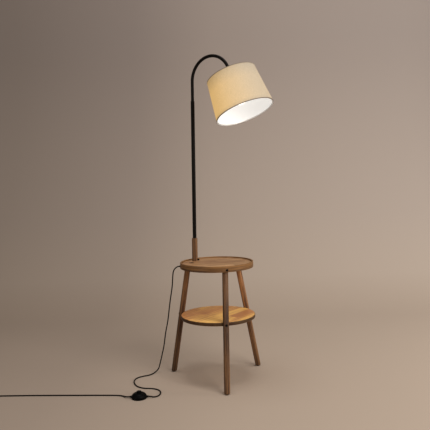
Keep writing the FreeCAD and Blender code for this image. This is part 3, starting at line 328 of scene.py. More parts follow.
# Wood patterns, in cycles per metre along the fibres and across them
DRIFT_SCALE = (1.6, 9.0, 9.0)
FIBRE_SCALE = (22.0, 900.0, 900.0)
PORE_SCALE = (60.0, 1500.0, 1500.0)
BANDS_ALONG = 3.5
PANEL_BANDS = 55.0
BAR_BANDS = 120.0

# What each pattern gives to the tone of the wood
BAND_SHARE = 0.62
DRIFT_SHARE = 0.38
FIBRE_SHARE = 0.22
BOARD_SHARE = 0.20
PORE_SHARE = 0.35
PORE_DEPTH = 0.00012

BOARD_STAGGER = 0.37  # shift of one board's joints against the next, in board lengths
BOARDS_PER_METRE = 3.1  # end to end along the fibres

WOOD_SHEEN = 0.25
STEEL_SHEEN = 0.08
PLASTIC_SHEEN = 0.05


def board_value(finish, along, width):
    """A chance value for each board of a panel."""
    parts = finish.parts(along)
    number = finish.math("FLOOR", finish.math("DIVIDE", parts[1], width))
    lengths = finish.math("MULTIPLY", parts[0], BOARDS_PER_METRE)
    length = finish.math("FLOOR", finish.math("MULTIPLY_ADD", number, BOARD_STAGGER, lengths))
    pick = finish.add("ShaderNodeCombineXYZ", {0: number, 1: length}).outputs[0]
    return finish.add("ShaderNodeTexWhiteNoise", {"Vector": pick}).outputs["Value"]


def grain(finish, along, light, dark, spread, board=0.0, across=PANEL_BANDS):
    """Hardwood: along holds coordinates in metres with the fibres on X.

    A small spread gives strong contrast, board is the width of glued boards, and across counts
    the bands per metre.
    """
    drift = finish.noise(finish.stretch(along, DRIFT_SCALE), 1.0, detail=3.0, distortion=0.6)
    bands = finish.noise(
        finish.stretch(along, (BANDS_ALONG, across, across)),
        1.0, detail=5.0, roughness=0.55, distortion=0.5,
    )
    fibres = finish.noise(finish.stretch(along, FIBRE_SCALE), 1.0, detail=3.0, roughness=0.7)
    tone = finish.math("MULTIPLY", drift, DRIFT_SHARE)
    tone = finish.math("MULTIPLY_ADD", bands, BAND_SHARE, tone)
    tone = finish.vary(tone, fibres, FIBRE_SHARE)
    if board:
        tone = finish.vary(tone, board_value(finish, along, board), BOARD_SHARE)
    middle = [(a + b) / 2 for a, b in zip(light, dark)]
    colour = finish.ramp(tone, (0.5 - spread, dark), (0.5, middle), (0.5 + spread, light))
    pores = finish.noise(finish.stretch(along, PORE_SCALE), 1.0, detail=1.0)
    pores = finish.ramp(pores, (0.60, 0.0), (0.72, 1.0))
    colour = finish.mix(finish.math("MULTIPLY", pores, PORE_SHARE), colour, dark)
    finish.set("Base Color", colour)
    finish.set("Roughness", finish.ramp(fibres, (0.3, 0.40), (0.7, 0.54)))
    finish.set("Specular IOR Level", WOOD_SHEEN)
    relief = finish.math("SUBTRACT", finish.math("MULTIPLY", fibres, 0.6), pores)
    finish.bump(relief, PORE_DEPTH)
    finish.material.diffuse_color = (*middle, 1)


PANEL_SPREAD = 0.09
RIM_SPREAD = 0.08
BAR_SPREAD = 0.09
TRAY_EDGE = 0.172  # radii from which the edges of the two panels are darker: end grain and painted shade
SHELF_EDGE = 0.1835
EDGE_BLUR = 0.002
CABLE_HOLE = on_table(-124, 10, 0)
# painted shade inside the cable hole, reaching just past its edge
HOLE_SHADE_REACH = 0.0125
HOLE_SHADE_BLUR = 0.001
RIM_REACH = 0.18  # radius of the rim, which turns an angle into metres of strip
LIFT = 1.5  # the ramp along a bar holds its tones divided by this


def board_wood(name, offset, turn, light, dark, edge, hole=None):
    """Glued boards across a panel, darker from the edge radius outwards: oil-soaked end grain and
    painted shade on the side faces.
    """
    wood = settings("lamp_wood")
    finish = Finish(name)
    along = finish.place(location=TABLE_AXIS + Vector(offset), rotation=(0, 0, -turn))
    grain(finish, along, light, dark, PANEL_SPREAD, wood.board_width)
    # darker edges: oil-soaked end grain and painted shade on the side faces
    soaked = finish.ramp(finish.reach(TABLE_AXIS), (edge - EDGE_BLUR, 0.0), (edge, 1.0))
    tone = finish.base_tone()
    tone = finish.mix(soaked, tone, finish.mix(1.0, tone, wood.end_grain_and_shade, "MULTIPLY"))
    if hole is not None:
        # painted shade inside the cable hole and round its edge
        inside = finish.ramp(
            finish.reach(hole), (HOLE_SHADE_REACH, 1.0), (HOLE_SHADE_REACH + HOLE_SHADE_BLUR, 0.0)
        )
        tone = finish.mix(inside, tone, wood.hole_shade)
    finish.set("Base Color", tone)
    return finish.material


def hoop_wood(name):
    """Rim bent from one strip: the fibres run round the table."""
    wood = settings("lamp_wood")
    finish = Finish(name)
    parts = finish.parts(finish.place(location=TABLE_AXIS, rotation=(0, 0, math.pi / 2)))
    angle = finish.math("ARCTAN2", parts[1], parts[0])
    squares = [finish.math("MULTIPLY", parts[axis], parts[axis]) for axis in (0, 1)]
    reach = finish.math("SQRT", finish.math("ADD", *squares))
    girth = finish.math("MULTIPLY", angle, RIM_REACH)
    along = finish.add("ShaderNodeCombineXYZ", {0: girth, 1: reach, 2: parts[2]})
    grain(finish, along.outputs[0], wood.rim_light, wood.rim_dark, RIM_SPREAD, across=BAR_BANDS)
    return finish.material


def turned_wood(name, start, end, foot_lighting, head_lighting):
    """Round bar whose fibres run from start to end, with painted light and shade that make it
    lighter or darker towards its ends.
    """
    wood = settings("lamp_wood")
    finish = Finish(name)
    turn = (end - start).rotation_difference(Vector((1, 0, 0))).to_euler("XYZ")
    along = finish.place(location=start, rotation=turn)
    grain(finish, along, wood.leg_light, wood.leg_dark, BAR_SPREAD, across=BAR_BANDS)
    share = finish.math("DIVIDE", finish.parts(along)[0], (end - start).length)
    # painted light and shade along the bar: the tone scaled from the foot's level to the head's
    oiled = finish.ramp(share, (0.0, foot_lighting / LIFT), (1.0, head_lighting / LIFT))
    strong = finish.mix(1.0, finish.base_tone(), [LIFT, LIFT, LIFT], "MULTIPLY")
    finish.set("Base Color", finish.mix(1.0, strong, oiled, "MULTIPLY"))
    return finish.material


def black_steel(name, roughness=0.42):
    """Powder-coated steel."""
    finish = Finish(name, roughness, settings("lamp_neck").colour)
    pattern = finish.noise(finish.place(), 1400.0, detail=2.0)
    finish.skin(pattern, 0.00004, 0.6, STEEL_SHEEN,
                (0.35, roughness - 0.05), (0.65, roughness + 0.08))
    return finish.material


def bare_metal(name, colour, roughness):
    """Metal with fine marks of its making round it."""
    finish = Finish(name, roughness, colour)
    finish.set("Metallic", 1.0)
    marks = finish.noise(finish.place(scale=(1, 1, 6)), 600.0, detail=3.0)
    finish.set("Roughness", finish.ramp(marks, (0.3, roughness - 0.06), (0.7, roughness + 0.1)))
    return finish.material


def moulded_plastic(name, tone, roughness=0.38):
    """Black plastic with the fine sparkle of its mould."""
    finish = Finish(name, roughness, (tone, tone, tone))
    pattern = finish.noise(finish.place(), 900.0, detail=3.0, roughness=0.6)
    finish.skin(pattern, 0.00005, 0.7, PLASTIC_SHEEN,
                (0.35, roughness - 0.06), (0.65, roughness + 0.08))
    return finish.material


def sheath(name):
    """Smooth plastic sheath of the lead, a little uneven."""
    finish = Finish(name, 0.45, settings("lamp_lead").colour)
    pattern = finish.noise(finish.place(), 240.0, detail=3.0)
    finish.skin(pattern, 0.00008, 0.5, PLASTIC_SHEEN, (0.3, 0.38), (0.7, 0.52))
    return finish.material


def felt(name, colour):
    """Pressed felt with a short pile."""
    finish = Finish(name, 0.95, colour)
    pile = finish.noise(finish.place(), 1800.0, detail=4.0, roughness=0.7)
    dark, light = ([part * strength for part in colour] for strength in (0.6, 1.4))
    finish.set("Base Color", finish.mix(pile, dark, light))
    finish.bump(pile, 0.0003)
    return finish.material


def weave(finish, vector, pitch):
    """Height of a plain weave whose threads run along X and Y."""
    parts = finish.parts(vector)
    warp, weft = (
        finish.math("SINE", finish.math("MULTIPLY", parts[axis], math.pi / pitch))
        for axis in (0, 1)
    )
    over = finish.math("MULTIPLY", warp, weft)
    ribs = finish.math("ABSOLUTE", warp)
    cross = finish.math("ABSOLUTE", weft)
    switch = finish.math("MULTIPLY_ADD", over, 0.5, 0.5)
    woven = finish.add("ShaderNodeMix", {0: switch, 2: ribs, 3: cross}, data_type="FLOAT")
    return woven.outputs[0]


CLOTH_REACH = 0.13  # middle radius of the shade, which turns an angle into metres of cloth
THREAD_PITCH = 0.0009
WEFT_SLUBS = (60.0, 700.0, 1.0)
WARP_SLUBS = (700.0, 45.0, 1.0)
THREAD_HEIGHT = 0.00025
DOUBLED_EDGE = 0.004  # width along which the doubled cloth lets no light through
# Glow from the side away from the pole to the side next to it
GLOW_ROUND = ((0.0, 0.35), (0.18, 0.62), (0.5, 0.89), (0.82, 0.93), (1.0, 0.82))
CLOTH_GLOW = 0.60
LINING_GLOW = 0.42
BULB_GLOW = 1.3


def linen(name):
    """Cream linen that lets the lamp's light through."""
    shade = settings("lamp_shade")
    finish = Finish(name, 0.85)
    cloth = finish.cloth()
    slubs, upright = (
        finish.noise(finish.stretch(cloth, scale), 1.0, detail=3.0, roughness=0.65)
        for scale in (WEFT_SLUBS, WARP_SLUBS)
    )
    thread = weave(finish, cloth, THREAD_PITCH)
    tone = finish.math("MULTIPLY_ADD", slubs, 0.5, finish.math("MULTIPLY", upright, 0.5))
    dark = [part * 0.80 for part in shade.cloth]
    light = [min(part * 1.12, 1) for part in shade.cloth]

    place = finish.parts(cloth)
    level = finish.math("DIVIDE", place[1], shade.height)
    edge = DOUBLED_EDGE / shade.height
    glow = finish.ramp(
        level, (edge * 0.7, 0.0), (edge * 1.3, 0.6), (0.35, 1.0), (0.9, 1.06),
        (1 - edge * 1.3, 0.85), (1 - edge * 0.7, 0.0),
    )
    glow = finish.math("MULTIPLY", glow, finish.math("MULTIPLY_ADD", tone, 0.5, 0.75))
    round_it = finish.math("COSINE", finish.math("DIVIDE", place[0], CLOTH_REACH))
    beside_pole = finish.math("MULTIPLY_ADD", round_it, 0.5, 0.5)
    glow = finish.math("MULTIPLY", glow, finish.ramp(beside_pole, *GLOW_ROUND))

    cloth_tone = finish.ramp(tone, (0.32, dark), (0.68, light))
    # painted shade on the turned edges: the cloth darkened where the doubled cloth lets no glow
    # through
    hem = finish.ramp(level, (edge * 0.8, 1.0), (edge, 0.0), (1 - edge, 0.0), (1 - edge * 0.8, 1.0))
    doubled = finish.mix(1.0, cloth_tone, shade.hem_shade, "MULTIPLY")
    finish.set("Base Color", finish.mix(hem, cloth_tone, doubled))
    finish.bump(finish.math("MULTIPLY_ADD", tone, 0.6, thread), THREAD_HEIGHT)
    finish.set("Emission Color", finish.mix(glow, [0.0, 0.0, 0.0], shade.glow))
    finish.set("Emission Strength", CLOTH_GLOW)
    finish.material.diffuse_color = (*shade.cloth, 1)
    return finish.material


def white_lining(name):
    """Inside of the shade, lit by the bulb."""
    finish = Finish(name, 0.6, settings("lamp_shade").lining)
    cloudy = finish.noise(finish.stretch(finish.cloth(), (12.0, 12.0, 1.0)), 1.0, detail=2.0)
    lit = finish.ramp(cloudy, (0.3, (0.98, 0.98, 0.97)), (0.7, (0.995, 0.995, 0.99)))
    finish.set("Emission Color", lit)
    finish.set("Emission Strength", LINING_GLOW)
    return finish.material


def opal_glass(name):
    """Bulb that is lit from within."""
    finish = Finish(name, 0.25, (0.95, 0.93, 0.88))
    finish.set("Emission Color", (1.0, 0.93, 0.80, 1))
    finish.set("Emission Strength", BULB_GLOW)
    cloudy = finish.noise(finish.place(), 90.0)
    finish.set("Roughness", finish.ramp(cloudy, (0.3, 0.2), (0.7, 0.32)))
    return finish.material


def paint(material, *nodes):
    """Gives CAD nodes their finish."""
    for node in nodes:
        mesh = frame["nodes"][node].data
        mesh.materials.clear()
        mesh.materials.append(material)


# ---- mesh helpers --------------------------------------------------------------------------------


def finished_mesh(name, shape, materials):
    """Smooth mesh from a bmesh, with its materials."""
    mesh = bpy.data.meshes.new(name)
    shape.to_mesh(mesh)
    shape.free()
    for item in materials:
        mesh.materials.append(item)
    mesh.polygons.foreach_set("use_smooth", [True] * len(mesh.polygons))
    return mesh


def add_object(name, data):
    """Object at the origin."""
    piece = bpy.data.objects.new(name, data)
    bpy.context.scene.collection.objects.link(piece)
    return piece


def fresh(made, kind):
    """What an extrusion made of one kind."""
    return [item for item in made["geom"] if isinstance(item, kind)]


def spun(profile, steps):
    """Bmesh of a closed profile turned about Z, from (radius, height) pairs."""
    shape = bmesh.new()
    points = [shape.verts.new((radius, 0.0, height)) for radius, height in profile]
    edges = [shape.edges.new(pair) for pair in zip(points, points[1:] + points[:1])]
    bmesh.ops.spin(
        shape, geom=points + edges, cent=(0, 0, 0), axis=(0, 0, 1), dvec=(0, 0, 0),
        angle=math.tau, steps=steps, use_merge=True, use_normal_flip=False, use_duplicate=False,
    )
    bmesh.ops.remove_doubles(shape, verts=shape.verts, dist=1e-6)
    bmesh.ops.recalc_face_normals(shape, faces=shape.faces)
    return shape


# ---- neck ----------------------------------------------------------------------------------------

NECK_STRAIGHT = 0.095
NECK_BEND_RADIUS = 0.113
NECK_TURN = math.radians(156.5)
HEAD_GAP = 0.005  # from the neck's end to the shade's upper edge
RINGS_PER_WINDING = 8
HOSE_SIDES = 40


def joint_place(number):
    """Middle of a neck joint; joints that bend and joints that sway take turns."""
    kind = "bend" if number % 2 else "sway"
    return Vector(JOINTS[f"neck_{kind}_{(number + 1) // 2}"]["pos_m"])


class NeckLine:
    """Middle line of the neck: straight, one arc, straight again, found from the joints."""

    def __init__(self):
        first = joint_place(1)
        self.side = Vector(JOINTS["neck_bend_1"]["axis"])
        self.rise = (joint_place(2) - first).normalized()
        self.out = self.side.cross(self.rise)
        self.pitch = (joint_place(2) - first).length
        self.start = first - self.rise * self.pitch / 2
        self.length = self.pitch * NECK_JOINTS

    def place(self, distance):
        """Matrix on the line: Z runs along the neck, Y stays square to its bend."""
        turn = min(max((distance - NECK_STRAIGHT) / NECK_BEND_RADIUS, 0.0), NECK_TURN)
        past = max(distance - NECK_STRAIGHT - NECK_BEND_RADIUS * NECK_TURN, 0.0)
        rise = min(distance, NECK_STRAIGHT)
        out = NECK_BEND_RADIUS * (1 - math.cos(turn)) + past * math.sin(turn)
        up = rise + NECK_BEND_RADIUS * math.sin(turn) + past * math.cos(turn)
        ahead = self.rise * math.cos(turn) + self.out * math.sin(turn)
        centre = self.start + self.out * out + self.rise * up
        return matrix_of(self.side.cross(ahead), self.side, ahead, centre)


def wound_hose(line, start, end):
    """Piece of the neck's wound hose between two distances along its line."""
    neck = settings("lamp_neck")
    step = neck.winding / RINGS_PER_WINDING
    rings = max(round((end - start) / step), 2)
    shape = bmesh.new()
    bmesh.ops.create_circle(shape, cap_ends=False, radius=1.0, segments=HOSE_SIDES)
    edges = list(shape.edges)
    for _ in range(rings):
        made = bmesh.ops.extrude_edge_only(shape, edges=edges)
        verts = fresh(made, bmesh.types.BMVert)
        edges = [edge for edge in fresh(made, bmesh.types.BMEdge)
                 if all(vert in verts for vert in edge.verts)]
        bmesh.ops.translate(shape, verts=verts, vec=(0, 0, 1))
    for vert in shape.verts:
        distance = start + (end - start) * vert.co.z / rings
        angle = math.atan2(vert.co.y, vert.co.x)
        phase = (distance / neck.winding + angle / math.tau) % 1.0
        crown = math.sqrt(abs(math.sin(math.pi * phase)))
        radius = neck.radius - neck.groove * (1 - crown)
        spot = Vector((radius * math.cos(angle), radius * math.sin(angle), 0))
        vert.co = line.place(distance) @ spot
    bmesh.ops.recalc_face_normals(shape, faces=shape.faces)
    return shape


class LAMP_OT_neck(bpy.types.Operator):
    """Make the wound neck, one piece of hose across each of its joints"""

    bl_idname = "lamp.neck"
    bl_label = "Neck"

    def execute(self, context):
        line = NeckLine()
        finish = black_steel("black wound steel", 0.36)
        for number in range(1, NECK_JOINTS + 1):
            name = f"neck_hose_{number:02d}"
            middle = line.pitch * (number - 0.5)
            shape = wound_hose(line, middle - line.pitch / 2, middle + line.pitch / 2)
            piece = add_object(name, finished_mesh(name, shape, [finish]))
            solids = [f"neck_link_{number - 1:02d}"]
            if number == NECK_JOINTS:
                solids.append(f"neck_link_{number:02d}")
            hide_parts(*solids)
            joint = line.place(middle)
            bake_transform(piece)
        return {"FINISHED"}


# ---- shade, holder and bulb ----------------------------------------------------------------------

HEM_PROUD = 0.0007  # by which the turned edges stand out from the cloth
EDGE_ROUND = 0.0004
CREST_INSET = 0.0006
CREST_RISE = 0.0002
SHADE_LEVELS = 12
SHADE_SIDES = 128


def head_place():
    """Matrix at the middle of the shade's upper edge: Z runs down the shade's axis."""
    line = NeckLine()
    return line.place(line.length + HEAD_GAP)


def cloth_map(shape):
    """UV map in metres: round the shade and down it."""
    layer = shape.loops.layers.uv.new("cloth")
    for face in shape.faces:
        angles = [math.atan2(loop.vert.co.y, loop.vert.co.x) for loop in face.loops]
        over_seam = max(angles) - min(angles) > math.pi
        for loop, angle in zip(face.loops, angles):
            if over_seam and angle < 0:
                angle += math.tau
            loop[layer].uv = (angle * CLOTH_REACH, loop.vert.co.z)


def shade_shape(shade):
    """Cloth and lining as one closed shell, with the lining on the second material."""

    def wall(depth, proud=0.0):
        widening = (shade.bottom_radius - shade.top_radius) * depth / shade.height
        return shade.top_radius + widening + proud

    hem = shade.hem
    low = shade.height
    profile = [
        (wall(0) - shade.wall, EDGE_ROUND), (wall(0) - CREST_INSET, -CREST_RISE),
        (wall(0, HEM_PROUD), EDGE_ROUND), (wall(hem, HEM_PROUD), hem - EDGE_ROUND),
        (wall(hem), hem),
    ]
    levels = [low * step / SHADE_LEVELS for step in range(1, SHADE_LEVELS)]
    profile += [(wall(level), level) for level in levels]
    profile += [
        (wall(low - hem), low - hem), (wall(low - hem, HEM_PROUD), low - hem + EDGE_ROUND),
        (wall(low, HEM_PROUD), low - EDGE_ROUND), (wall(low) - CREST_INSET, low + CREST_RISE),
        (wall(low) - shade.wall, low - EDGE_ROUND),
    ]
    inside = (low - hem, low * 0.66, low * 0.33, hem)
    profile += [(wall(depth) - shade.wall, depth) for depth in inside]
    shape = spun(profile, SHADE_SIDES)
    for face in shape.faces:
        middle = face.calc_center_median()
        reach = math.hypot(middle.x, middle.y)
        face.material_index = 1 if reach < wall(middle.z) - shade.wall * 0.8 else 0
    return shape


class LAMP_OT_shade(bpy.types.Operator):
    """Make the linen shade with its lining and turned edges"""

    bl_idname = "lamp.shade"
    bl_label = "Shade"

    def execute(self, context):
        shade = settings("lamp_shade")
        shape = shade_shape(shade)
        cloth_map(shape)
        bmesh.ops.transform(shape, matrix=head_place(), verts=shape.verts)
        bmesh.ops.recalc_face_normals(shape, faces=shape.faces)
        materials = [linen("cream linen"), white_lining("white lining")]
        piece = add_object("linen_shade", finished_mesh("linen_shade", shape, materials))
        piece.data.set_sharp_from_angle(angle=math.radians(50))
        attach(piece, "neck_12")
        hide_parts("shade")
        wire = bare_metal("white coated wire", (0.75, 0.74, 0.72), 0.4)
        paint(wire, "shade_spider", "shade_lower_ring")
        return {"FINISHED"}


class LAMP_OT_holder(bpy.types.Operator):
    """Finish the lampholder and make the opal bulb glow"""

    bl_idname = "lamp.holder"
    bl_label = "Holder and bulb"

    def execute(self, context):
        plastic = moulded_plastic("black holder plastic", 0.02)
        paint(plastic, "holder_cap", "holder_body", "shade_nut")
        paint(black_steel("black ferrule"), "neck_ferrule")
        paint(bare_metal("nickelled cap", (0.75, 0.73, 0.68), 0.28), "bulb_cap")
        paint(opal_glass("opal glass"), "bulb_glass")
        return {"FINISHED"}


# ---- table ---------------------------------------------------------------------------------------

# Each leg with the level of painted light and shade at its foot and at its head
LEGS = (("front", 0.64, 0.86), ("right", 0.52, 2.5), ("left", 0.30, 1.7))
# the post's wood at this factor of its tones from foot to head
POST_TONE = 0.78
# Where a board's corner lies under each panel, from the table's axis
TRAY_OFFSET = (0.011, 0.013, 0)
SHELF_OFFSET = (0.031, 0.17, 0)


def bar_ends(node):
    """Middle of a leaning bar's lower and upper end, from its own vertices."""
    points = [vert.co for vert in frame["nodes"][node].data.vertices]
    levels = [point.z for point in points]

    def middle(level):
        near = [point for point in points if abs(point.z - level) < 0.002]
        return Vector([(min(p[i] for p in near) + max(p[i] for p in near)) / 2 for i in range(3)])

    return middle(min(levels)), middle(max(levels))


class LAMP_OT_table(bpy.types.Operator):
    """Finish the tray, the shelf and the legs in oiled hardwood"""

    bl_idname = "lamp.table"
    bl_label = "Table"

    def execute(self, context):
        wood = settings("lamp_wood")
        tray = board_wood("tray boards", TRAY_OFFSET, wood.tray_turn,
                          wood.tray_light, wood.tray_dark, TRAY_EDGE, CABLE_HOLE)
        # the shelf's lighter tones are painted light
        shelf = board_wood("shelf boards", SHELF_OFFSET, wood.shelf_turn,
                           wood.shelf_light, wood.shelf_dark, SHELF_EDGE)
        paint(tray, "tray_panel")
        paint(shelf, "shelf")
        paint(hoop_wood("bent rim"), "tray_rim")
        for name, foot_lighting, head_lighting in LEGS:
            start, end = bar_ends("leg_" + name)
            finish = turned_wood("leg wood " + name, start, end, foot_lighting, head_lighting)
            paint(finish, "leg_" + name, "leg_block_" + name)
            paint(felt("pad felt " + name, (0.05, 0.042, 0.036)), "foot_pad_" + name)
        low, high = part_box("post_sleeve")
        foot = Vector(((low.x + high.x) / 2, (low.y + high.y) / 2, low.z))
        head = foot + UP * (high.z - low.z)
        paint(turned_wood("post wood", foot, head, POST_TONE, POST_TONE), "post_sleeve")
        return {"FINISHED"}


class LAMP_OT_metal(bpy.types.Operator):
    """Finish the pole, the bolts and the hidden hardware"""

    bl_idname = "lamp.metal"
    bl_label = "Pole and bolts"

    def execute(self, context):
        paint(black_steel("black powder coat"), "pole", "pole_bush", "post_plate")
        paint(black_steel("black bolts", 0.5), "rim_bolts", "shelf_bolts", "post_bolt")
        zinc = bare_metal("zinc plate", (0.62, 0.61, 0.58), 0.35)
        paint(zinc, "thread_inserts", "post_screws", "switch_screws", "switch_spring")
        return {"FINISHED"}


# ---- mains lead: points in millimetres from the table's axis -------------------------------------

EXIT_ANGLE = math.radians(186)
EXIT_HEIGHT = 563
EXIT_REACHES = (181.5, 196.5)

DROP_POINTS = [
    (-213.5, -19, 543), (-218, -14, 510), (-221.5, -5, 466), (-231.5, 6, 413), (-240, 15, 365),
    (-252, 33, 282), (-268, 45, 216), (-277, 57, 153), (-292, 71, 94), (-303, 83, 52),
    (-314, 88, 15), (-336, 68, 3), (-356, 39, 3), (-390, 25, 3), (-416, 2, 3), (-424, -38, 3),
    (-416, -78, 3), (-398, -121, 3), (-361, -148, 3), (-322, -150, 3), (-289, -171, 3),
    (-275.5, -203, 3), (-278, -236, 3), (-288.5, -256, 3), (-304, -265.2, 4.4), (-320, -264, 8),
    (-327, -264, 8),
]

RUN_POINTS = [
    (-413, -264, 8), (-427.5, -264, 8), (-443, -246, 4.5), (-459, -231.5, 3), (-488, -227, 3),
    (-555, -221, 3), (-630, -216, 3), (-710, -210, 3), (-790, -204.5, 3), (-870, -199.5, 3),
    (-950, -196, 3), (-1020, -193.8, 3),
]

COIL_CENTRE = (-1100.0, -232.5)
COIL_LEVEL = 4.1
COIL_LEAD_IN = 26
COIL_STEPS = 16
COIL_START = math.radians(90)


def exit_points():
    """Where the lead leaves the rim, and the end of its straight start."""
    across, along = math.cos(EXIT_ANGLE), math.sin(EXIT_ANGLE)
    return [(reach * across, reach * along, EXIT_HEIGHT) for reach in EXIT_REACHES]


def coil_points(lead):
    """The tied lead: in, up a layer while it reverses, and out again."""
    x, y = COIL_CENTRE
    outer = lead.coil_radius * 1000
    pitch = lead.coil_pitch * 1000
    points = [(x + COIL_LEAD_IN, y + outer, COIL_LEVEL)]
    last = lead.coil_turns * COIL_STEPS
    for count in range(last + 1):
        turns = count / COIL_STEPS
        reach = outer - pitch * min(turns, lead.coil_turns - turns)
        if 0 < count < last:
            reach /= math.cos(math.pi / COIL_STEPS) ** 0.5
        climb = min(max((turns - lead.coil_turns / 2) * 2 + 0.5, 0.0), 1.0)
        angle = COIL_START + math.tau * turns
        points.append((x + reach * math.cos(angle), y + reach * math.sin(angle),
                       COIL_LEVEL + pitch * climb))
    return points


def tail_points(start):
    """From the coil's end, a point in millimetres, into the plug."""
    low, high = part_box("plug_body")
    tip = (high.x - TABLE_AXIS.x) * 1000
    axis = (high.z + low.z) * 500
    x, y, z = start
    return [(x - 6, y, z), (x - 19, y, z), (tip + 13, y, axis), (tip, y, axis)]


def lead_curve(name, points, material):
    """A lead as one smooth spline through the air and along the floor."""
    curve = bpy.data.curves.new(name, "CURVE")
    curve.dimensions = "3D"
    curve.bevel_depth = settings("lamp_lead").diameter / 2
    curve.bevel_resolution = 5
    curve.resolution_u = 8
    curve.use_fill_caps = True
    spline = curve.splines.new("NURBS")
    spline.points.add(len(points) - 1)
    for point, place in zip(spline.points, points):
        point.co = (*on_table(*place), 1)
    spline.order_u = 3
    spline.use_endpoint_u = True
    curve.materials.append(material)
    piece = add_object(name, curve)
    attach(piece, "stand")
    return piece


class LAMP_OT_lead(bpy.types.Operator):
    """Lay the mains lead from the rim to the foot switch and on to the plug"""

    bl_idname = "lamp.lead"
    bl_label = "Mains lead"

    def execute(self, context):
        lead = settings("lamp_lead")
        skin = sheath("black sheath")
        drop_points = exit_points() + DROP_POINTS
        drop = lead_curve("lead_drop", drop_points, skin)
        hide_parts("cord_drop")
        coil = coil_points(lead)
        run_points = RUN_POINTS + coil + tail_points(coil[-1])
        run = lead_curve("lead_run", run_points, skin)
        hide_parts("cord_run", "cord_coil", "cord_tail")
        plastic = moulded_plastic("black plug plastic", 0.016, 0.42)
        paint(plastic, "rim_grommet", "lead_clips", "coil_tie", "plug_body")
        paint(skin, "lead_inside")
        paint(bare_metal("nickelled pins", (0.72, 0.68, 0.58), 0.22), "plug_pins")
        return {"FINISHED"}


class LAMP_OT_switch(bpy.types.Operator):
    """Finish the foot switch"""

    bl_idname = "lamp.switch"
    bl_label = "Foot switch"

    def execute(self, context):
        casing = moulded_plastic("black switch plastic", 0.0012, 0.5)
        paint(casing, "switch_base", "switch_cover", "switch_reliefs", "switch_contacts")
        paint(moulded_plastic("black button plastic", 0.0016, 0.45), "switch_button")
        return {"FINISHED"}


# ---- studio --------------------------------------------------------------------------------------

FLOOR_HALF = 9.0
WALL_SHIFT = -5.6  # of the floor's back edge, which brings the wall nearer
WALL_HEIGHT = 9.0
SWEEP = 2.2  # width of the curve between floor and wall
RAMP_SCALE = 0.25  # a ramp covers 4 m
# Painted light and shade on the backdrop, from left to right and from the floor upwards
SIDE_LIGHT_AND_SHADE = (
    (0.0, (0.565, 0.555, 0.545)), (0.3, (0.665, 0.66, 0.665)), (0.5, 0.855),
    (1.0, (1.035, 1.06, 1.09)),
)
RISE_LIGHT_AND_SHADE = (
    (0.0, (1.055, 1.01, 0.97)), (0.04, (1.11, 1.09, 1.08)), (0.15, (1.02, 1.01, 1.035)),
    (0.6, (0.84, 0.85, 0.92)),
)

# Each light: setting of its power, place, aim, size and colour
LIGHTS = {
    "key light": ("key_power", (3.7, -4.6, 3.6), (0.0, 0.0, 0.5), (4.0, 4.0), (1.0, 0.95, 0.88)),
    "side light": ("side_power", (3.6, -0.5, 1.1), (0.0, 0.0, 0.5), (0.8, 1.6), (1.0, 0.93, 0.84)),
    "fill light": ("fill_power", (-3.2, -3.0, 1.3), (0.0, 0.0, 0.4), (2.0, 2.0), (1.0, 0.97, 0.95)),
    "top light": ("top_power", (0.2, -0.35, 5.6), (0.1, 0.2, 0.0), (1.5, 1.5), (1.0, 0.97, 0.94)),
}

CAMERA_PLACE = on_table(-3.7, -2922.4, 1004.7)
CAMERA_AHEAD = Vector((0.0007925, 0.9977606, -0.0668827))
CAMERA_SIDE = Vector((0.9996040, -0.0026718, -0.0280128))


def soft_light(name, power, place, aim, size, colour):
    """Lit rectangle that faces the point it aims at."""
    lamp = bpy.data.lights.new(name, "AREA")
    lamp.shape = "RECTANGLE"
    lamp.size, lamp.size_y = size
    lamp.energy = power
    lamp.color = colour
    piece = add_object(name, lamp)
    piece.location = place
    piece.rotation_euler = (Vector(aim) - Vector(place)).to_track_quat("-Z", "Y").to_euler()


def backdrop_shape():
    """Floor that sweeps up into a wall, with its faces towards the lamp."""
    shape = bmesh.new()
    bmesh.ops.create_grid(shape, x_segments=1, y_segments=1, size=FLOOR_HALF)
    back = [edge for edge in shape.edges if all(vert.co.y > 8 for vert in edge.verts)]
    verts = [vert for edge in back for vert in edge.verts]
    bmesh.ops.translate(shape, verts=verts, vec=(0, WALL_SHIFT, 0))
    made = bmesh.ops.extrude_edge_only(shape, edges=back)
    bmesh.ops.translate(shape, verts=fresh(made, bmesh.types.BMVert), vec=(0, 0, WALL_HEIGHT))
    crease = [edge for edge in shape.edges
              if all(abs(vert.co.z) < 1e-6 and vert.co.y > 3 for vert in edge.verts)]
    bmesh.ops.bevel(shape, geom=crease, offset=SWEEP, segments=24, profile=0.5,
                    affect="EDGES", material=-1)
    bmesh.ops.recalc_face_normals(shape, faces=shape.faces)
    floor = min(shape.faces, key=lambda face: face.calc_center_median().length)
    if floor.normal.z < 0:
        bmesh.ops.reverse_faces(shape, faces=shape.faces)
    return shape


def backdrop_paper(name, colour):
    """Plain paper with painted light and shade: darker to the left and with its height."""
    finish = Finish(name, 0.95, colour)
    spot = finish.parts(finish.place())
    side = finish.ramp(finish.math("MULTIPLY_ADD", spot[0], RAMP_SCALE, 0.5), *SIDE_LIGHT_AND_SHADE)
    rise = finish.ramp(finish.math("MULTIPLY", spot[2], RAMP_SCALE), *RISE_LIGHT_AND_SHADE)
    shading = finish.mix(1.0, side, rise, "MULTIPLY")
    finish.set("Base Color", finish.mix(1.0, shading, colour, "MULTIPLY"))
    finish.clear_from_behind()
    return finish.material


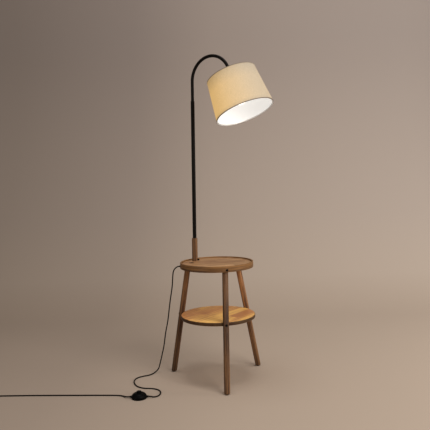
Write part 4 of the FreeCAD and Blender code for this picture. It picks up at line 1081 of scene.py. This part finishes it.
class LAMP_OT_studio(bpy.types.Operator):
    """Set up the floor, the lights and the camera"""

    bl_idname = "lamp.studio"
    bl_label = "Studio"

    def execute(self, context):
        studio = settings("lamp_studio")
        scene = bpy.context.scene
        scene.view_settings.view_transform = "Standard"

        paper = backdrop_paper("backdrop paper", studio.backdrop)
        add_object("backdrop", finished_mesh("backdrop", backdrop_shape(), [paper]))

        for name, (power, *rest) in LIGHTS.items():
            soft_light(name, getattr(studio, power), *rest)
        world = bpy.data.worlds.new("studio")
        world.use_nodes = True
        background = world.node_tree.nodes["Background"]
        background.inputs[0].default_value = (*studio.surroundings, 1)
        scene.world = world

        lens = bpy.data.cameras.new("camera")
        lens.lens = studio.focal_length
        lens.sensor_width = 36
        lens.clip_end = 60
        camera = add_object("camera", lens)
        camera.matrix_world = matrix_of(
            CAMERA_SIDE, CAMERA_SIDE.cross(CAMERA_AHEAD), -CAMERA_AHEAD, CAMERA_PLACE
        )
        scene.camera = camera
        return {"FINISHED"}


# ---- panel and order of work ---------------------------------------------------------------------

GROUPS = {
    "lamp_wood": WoodSettings,
    "lamp_neck": NeckSettings,
    "lamp_shade": ShadeSettings,
    "lamp_lead": LeadSettings,
    "lamp_studio": StudioSettings,
}
STEPS = (
    LAMP_OT_table, LAMP_OT_metal, LAMP_OT_neck, LAMP_OT_shade, LAMP_OT_holder, LAMP_OT_lead,
    LAMP_OT_switch, LAMP_OT_studio,
)


class LAMP_PT_steps(bpy.types.Panel):
    """Lists the steps and the settings"""

    bl_label = "Tray Table Lamp"
    bl_space_type = "VIEW_3D"
    bl_region_type = "UI"
    bl_category = "Lamp"

    def draw(self, context):
        layout = self.layout
        for step in STEPS:
            layout.operator(step.bl_idname)
        for key, group in GROUPS.items():
            column = layout.column(align=True)
            column.label(text=group.__doc__)
            for entry in group.__annotations__:
                column.prop(getattr(context.scene, key), entry)


def register():
    for key, group in GROUPS.items():
        bpy.utils.register_class(group)
        setattr(bpy.types.Scene, key, bpy.props.PointerProperty(type=group))
    for item in (*STEPS, LAMP_PT_steps):
        bpy.utils.register_class(item)


def unregister():
    for item in (LAMP_PT_steps, *reversed(STEPS)):
        bpy.utils.unregister_class(item)
    for key, group in reversed(GROUPS.items()):
        delattr(bpy.types.Scene, key)
        bpy.utils.unregister_class(group)


def main():
    register()
    for step in STEPS:
        category, name = step.bl_idname.split(".")
        getattr(getattr(bpy.ops, category), name)()


if __name__ == "__main__":
    main()
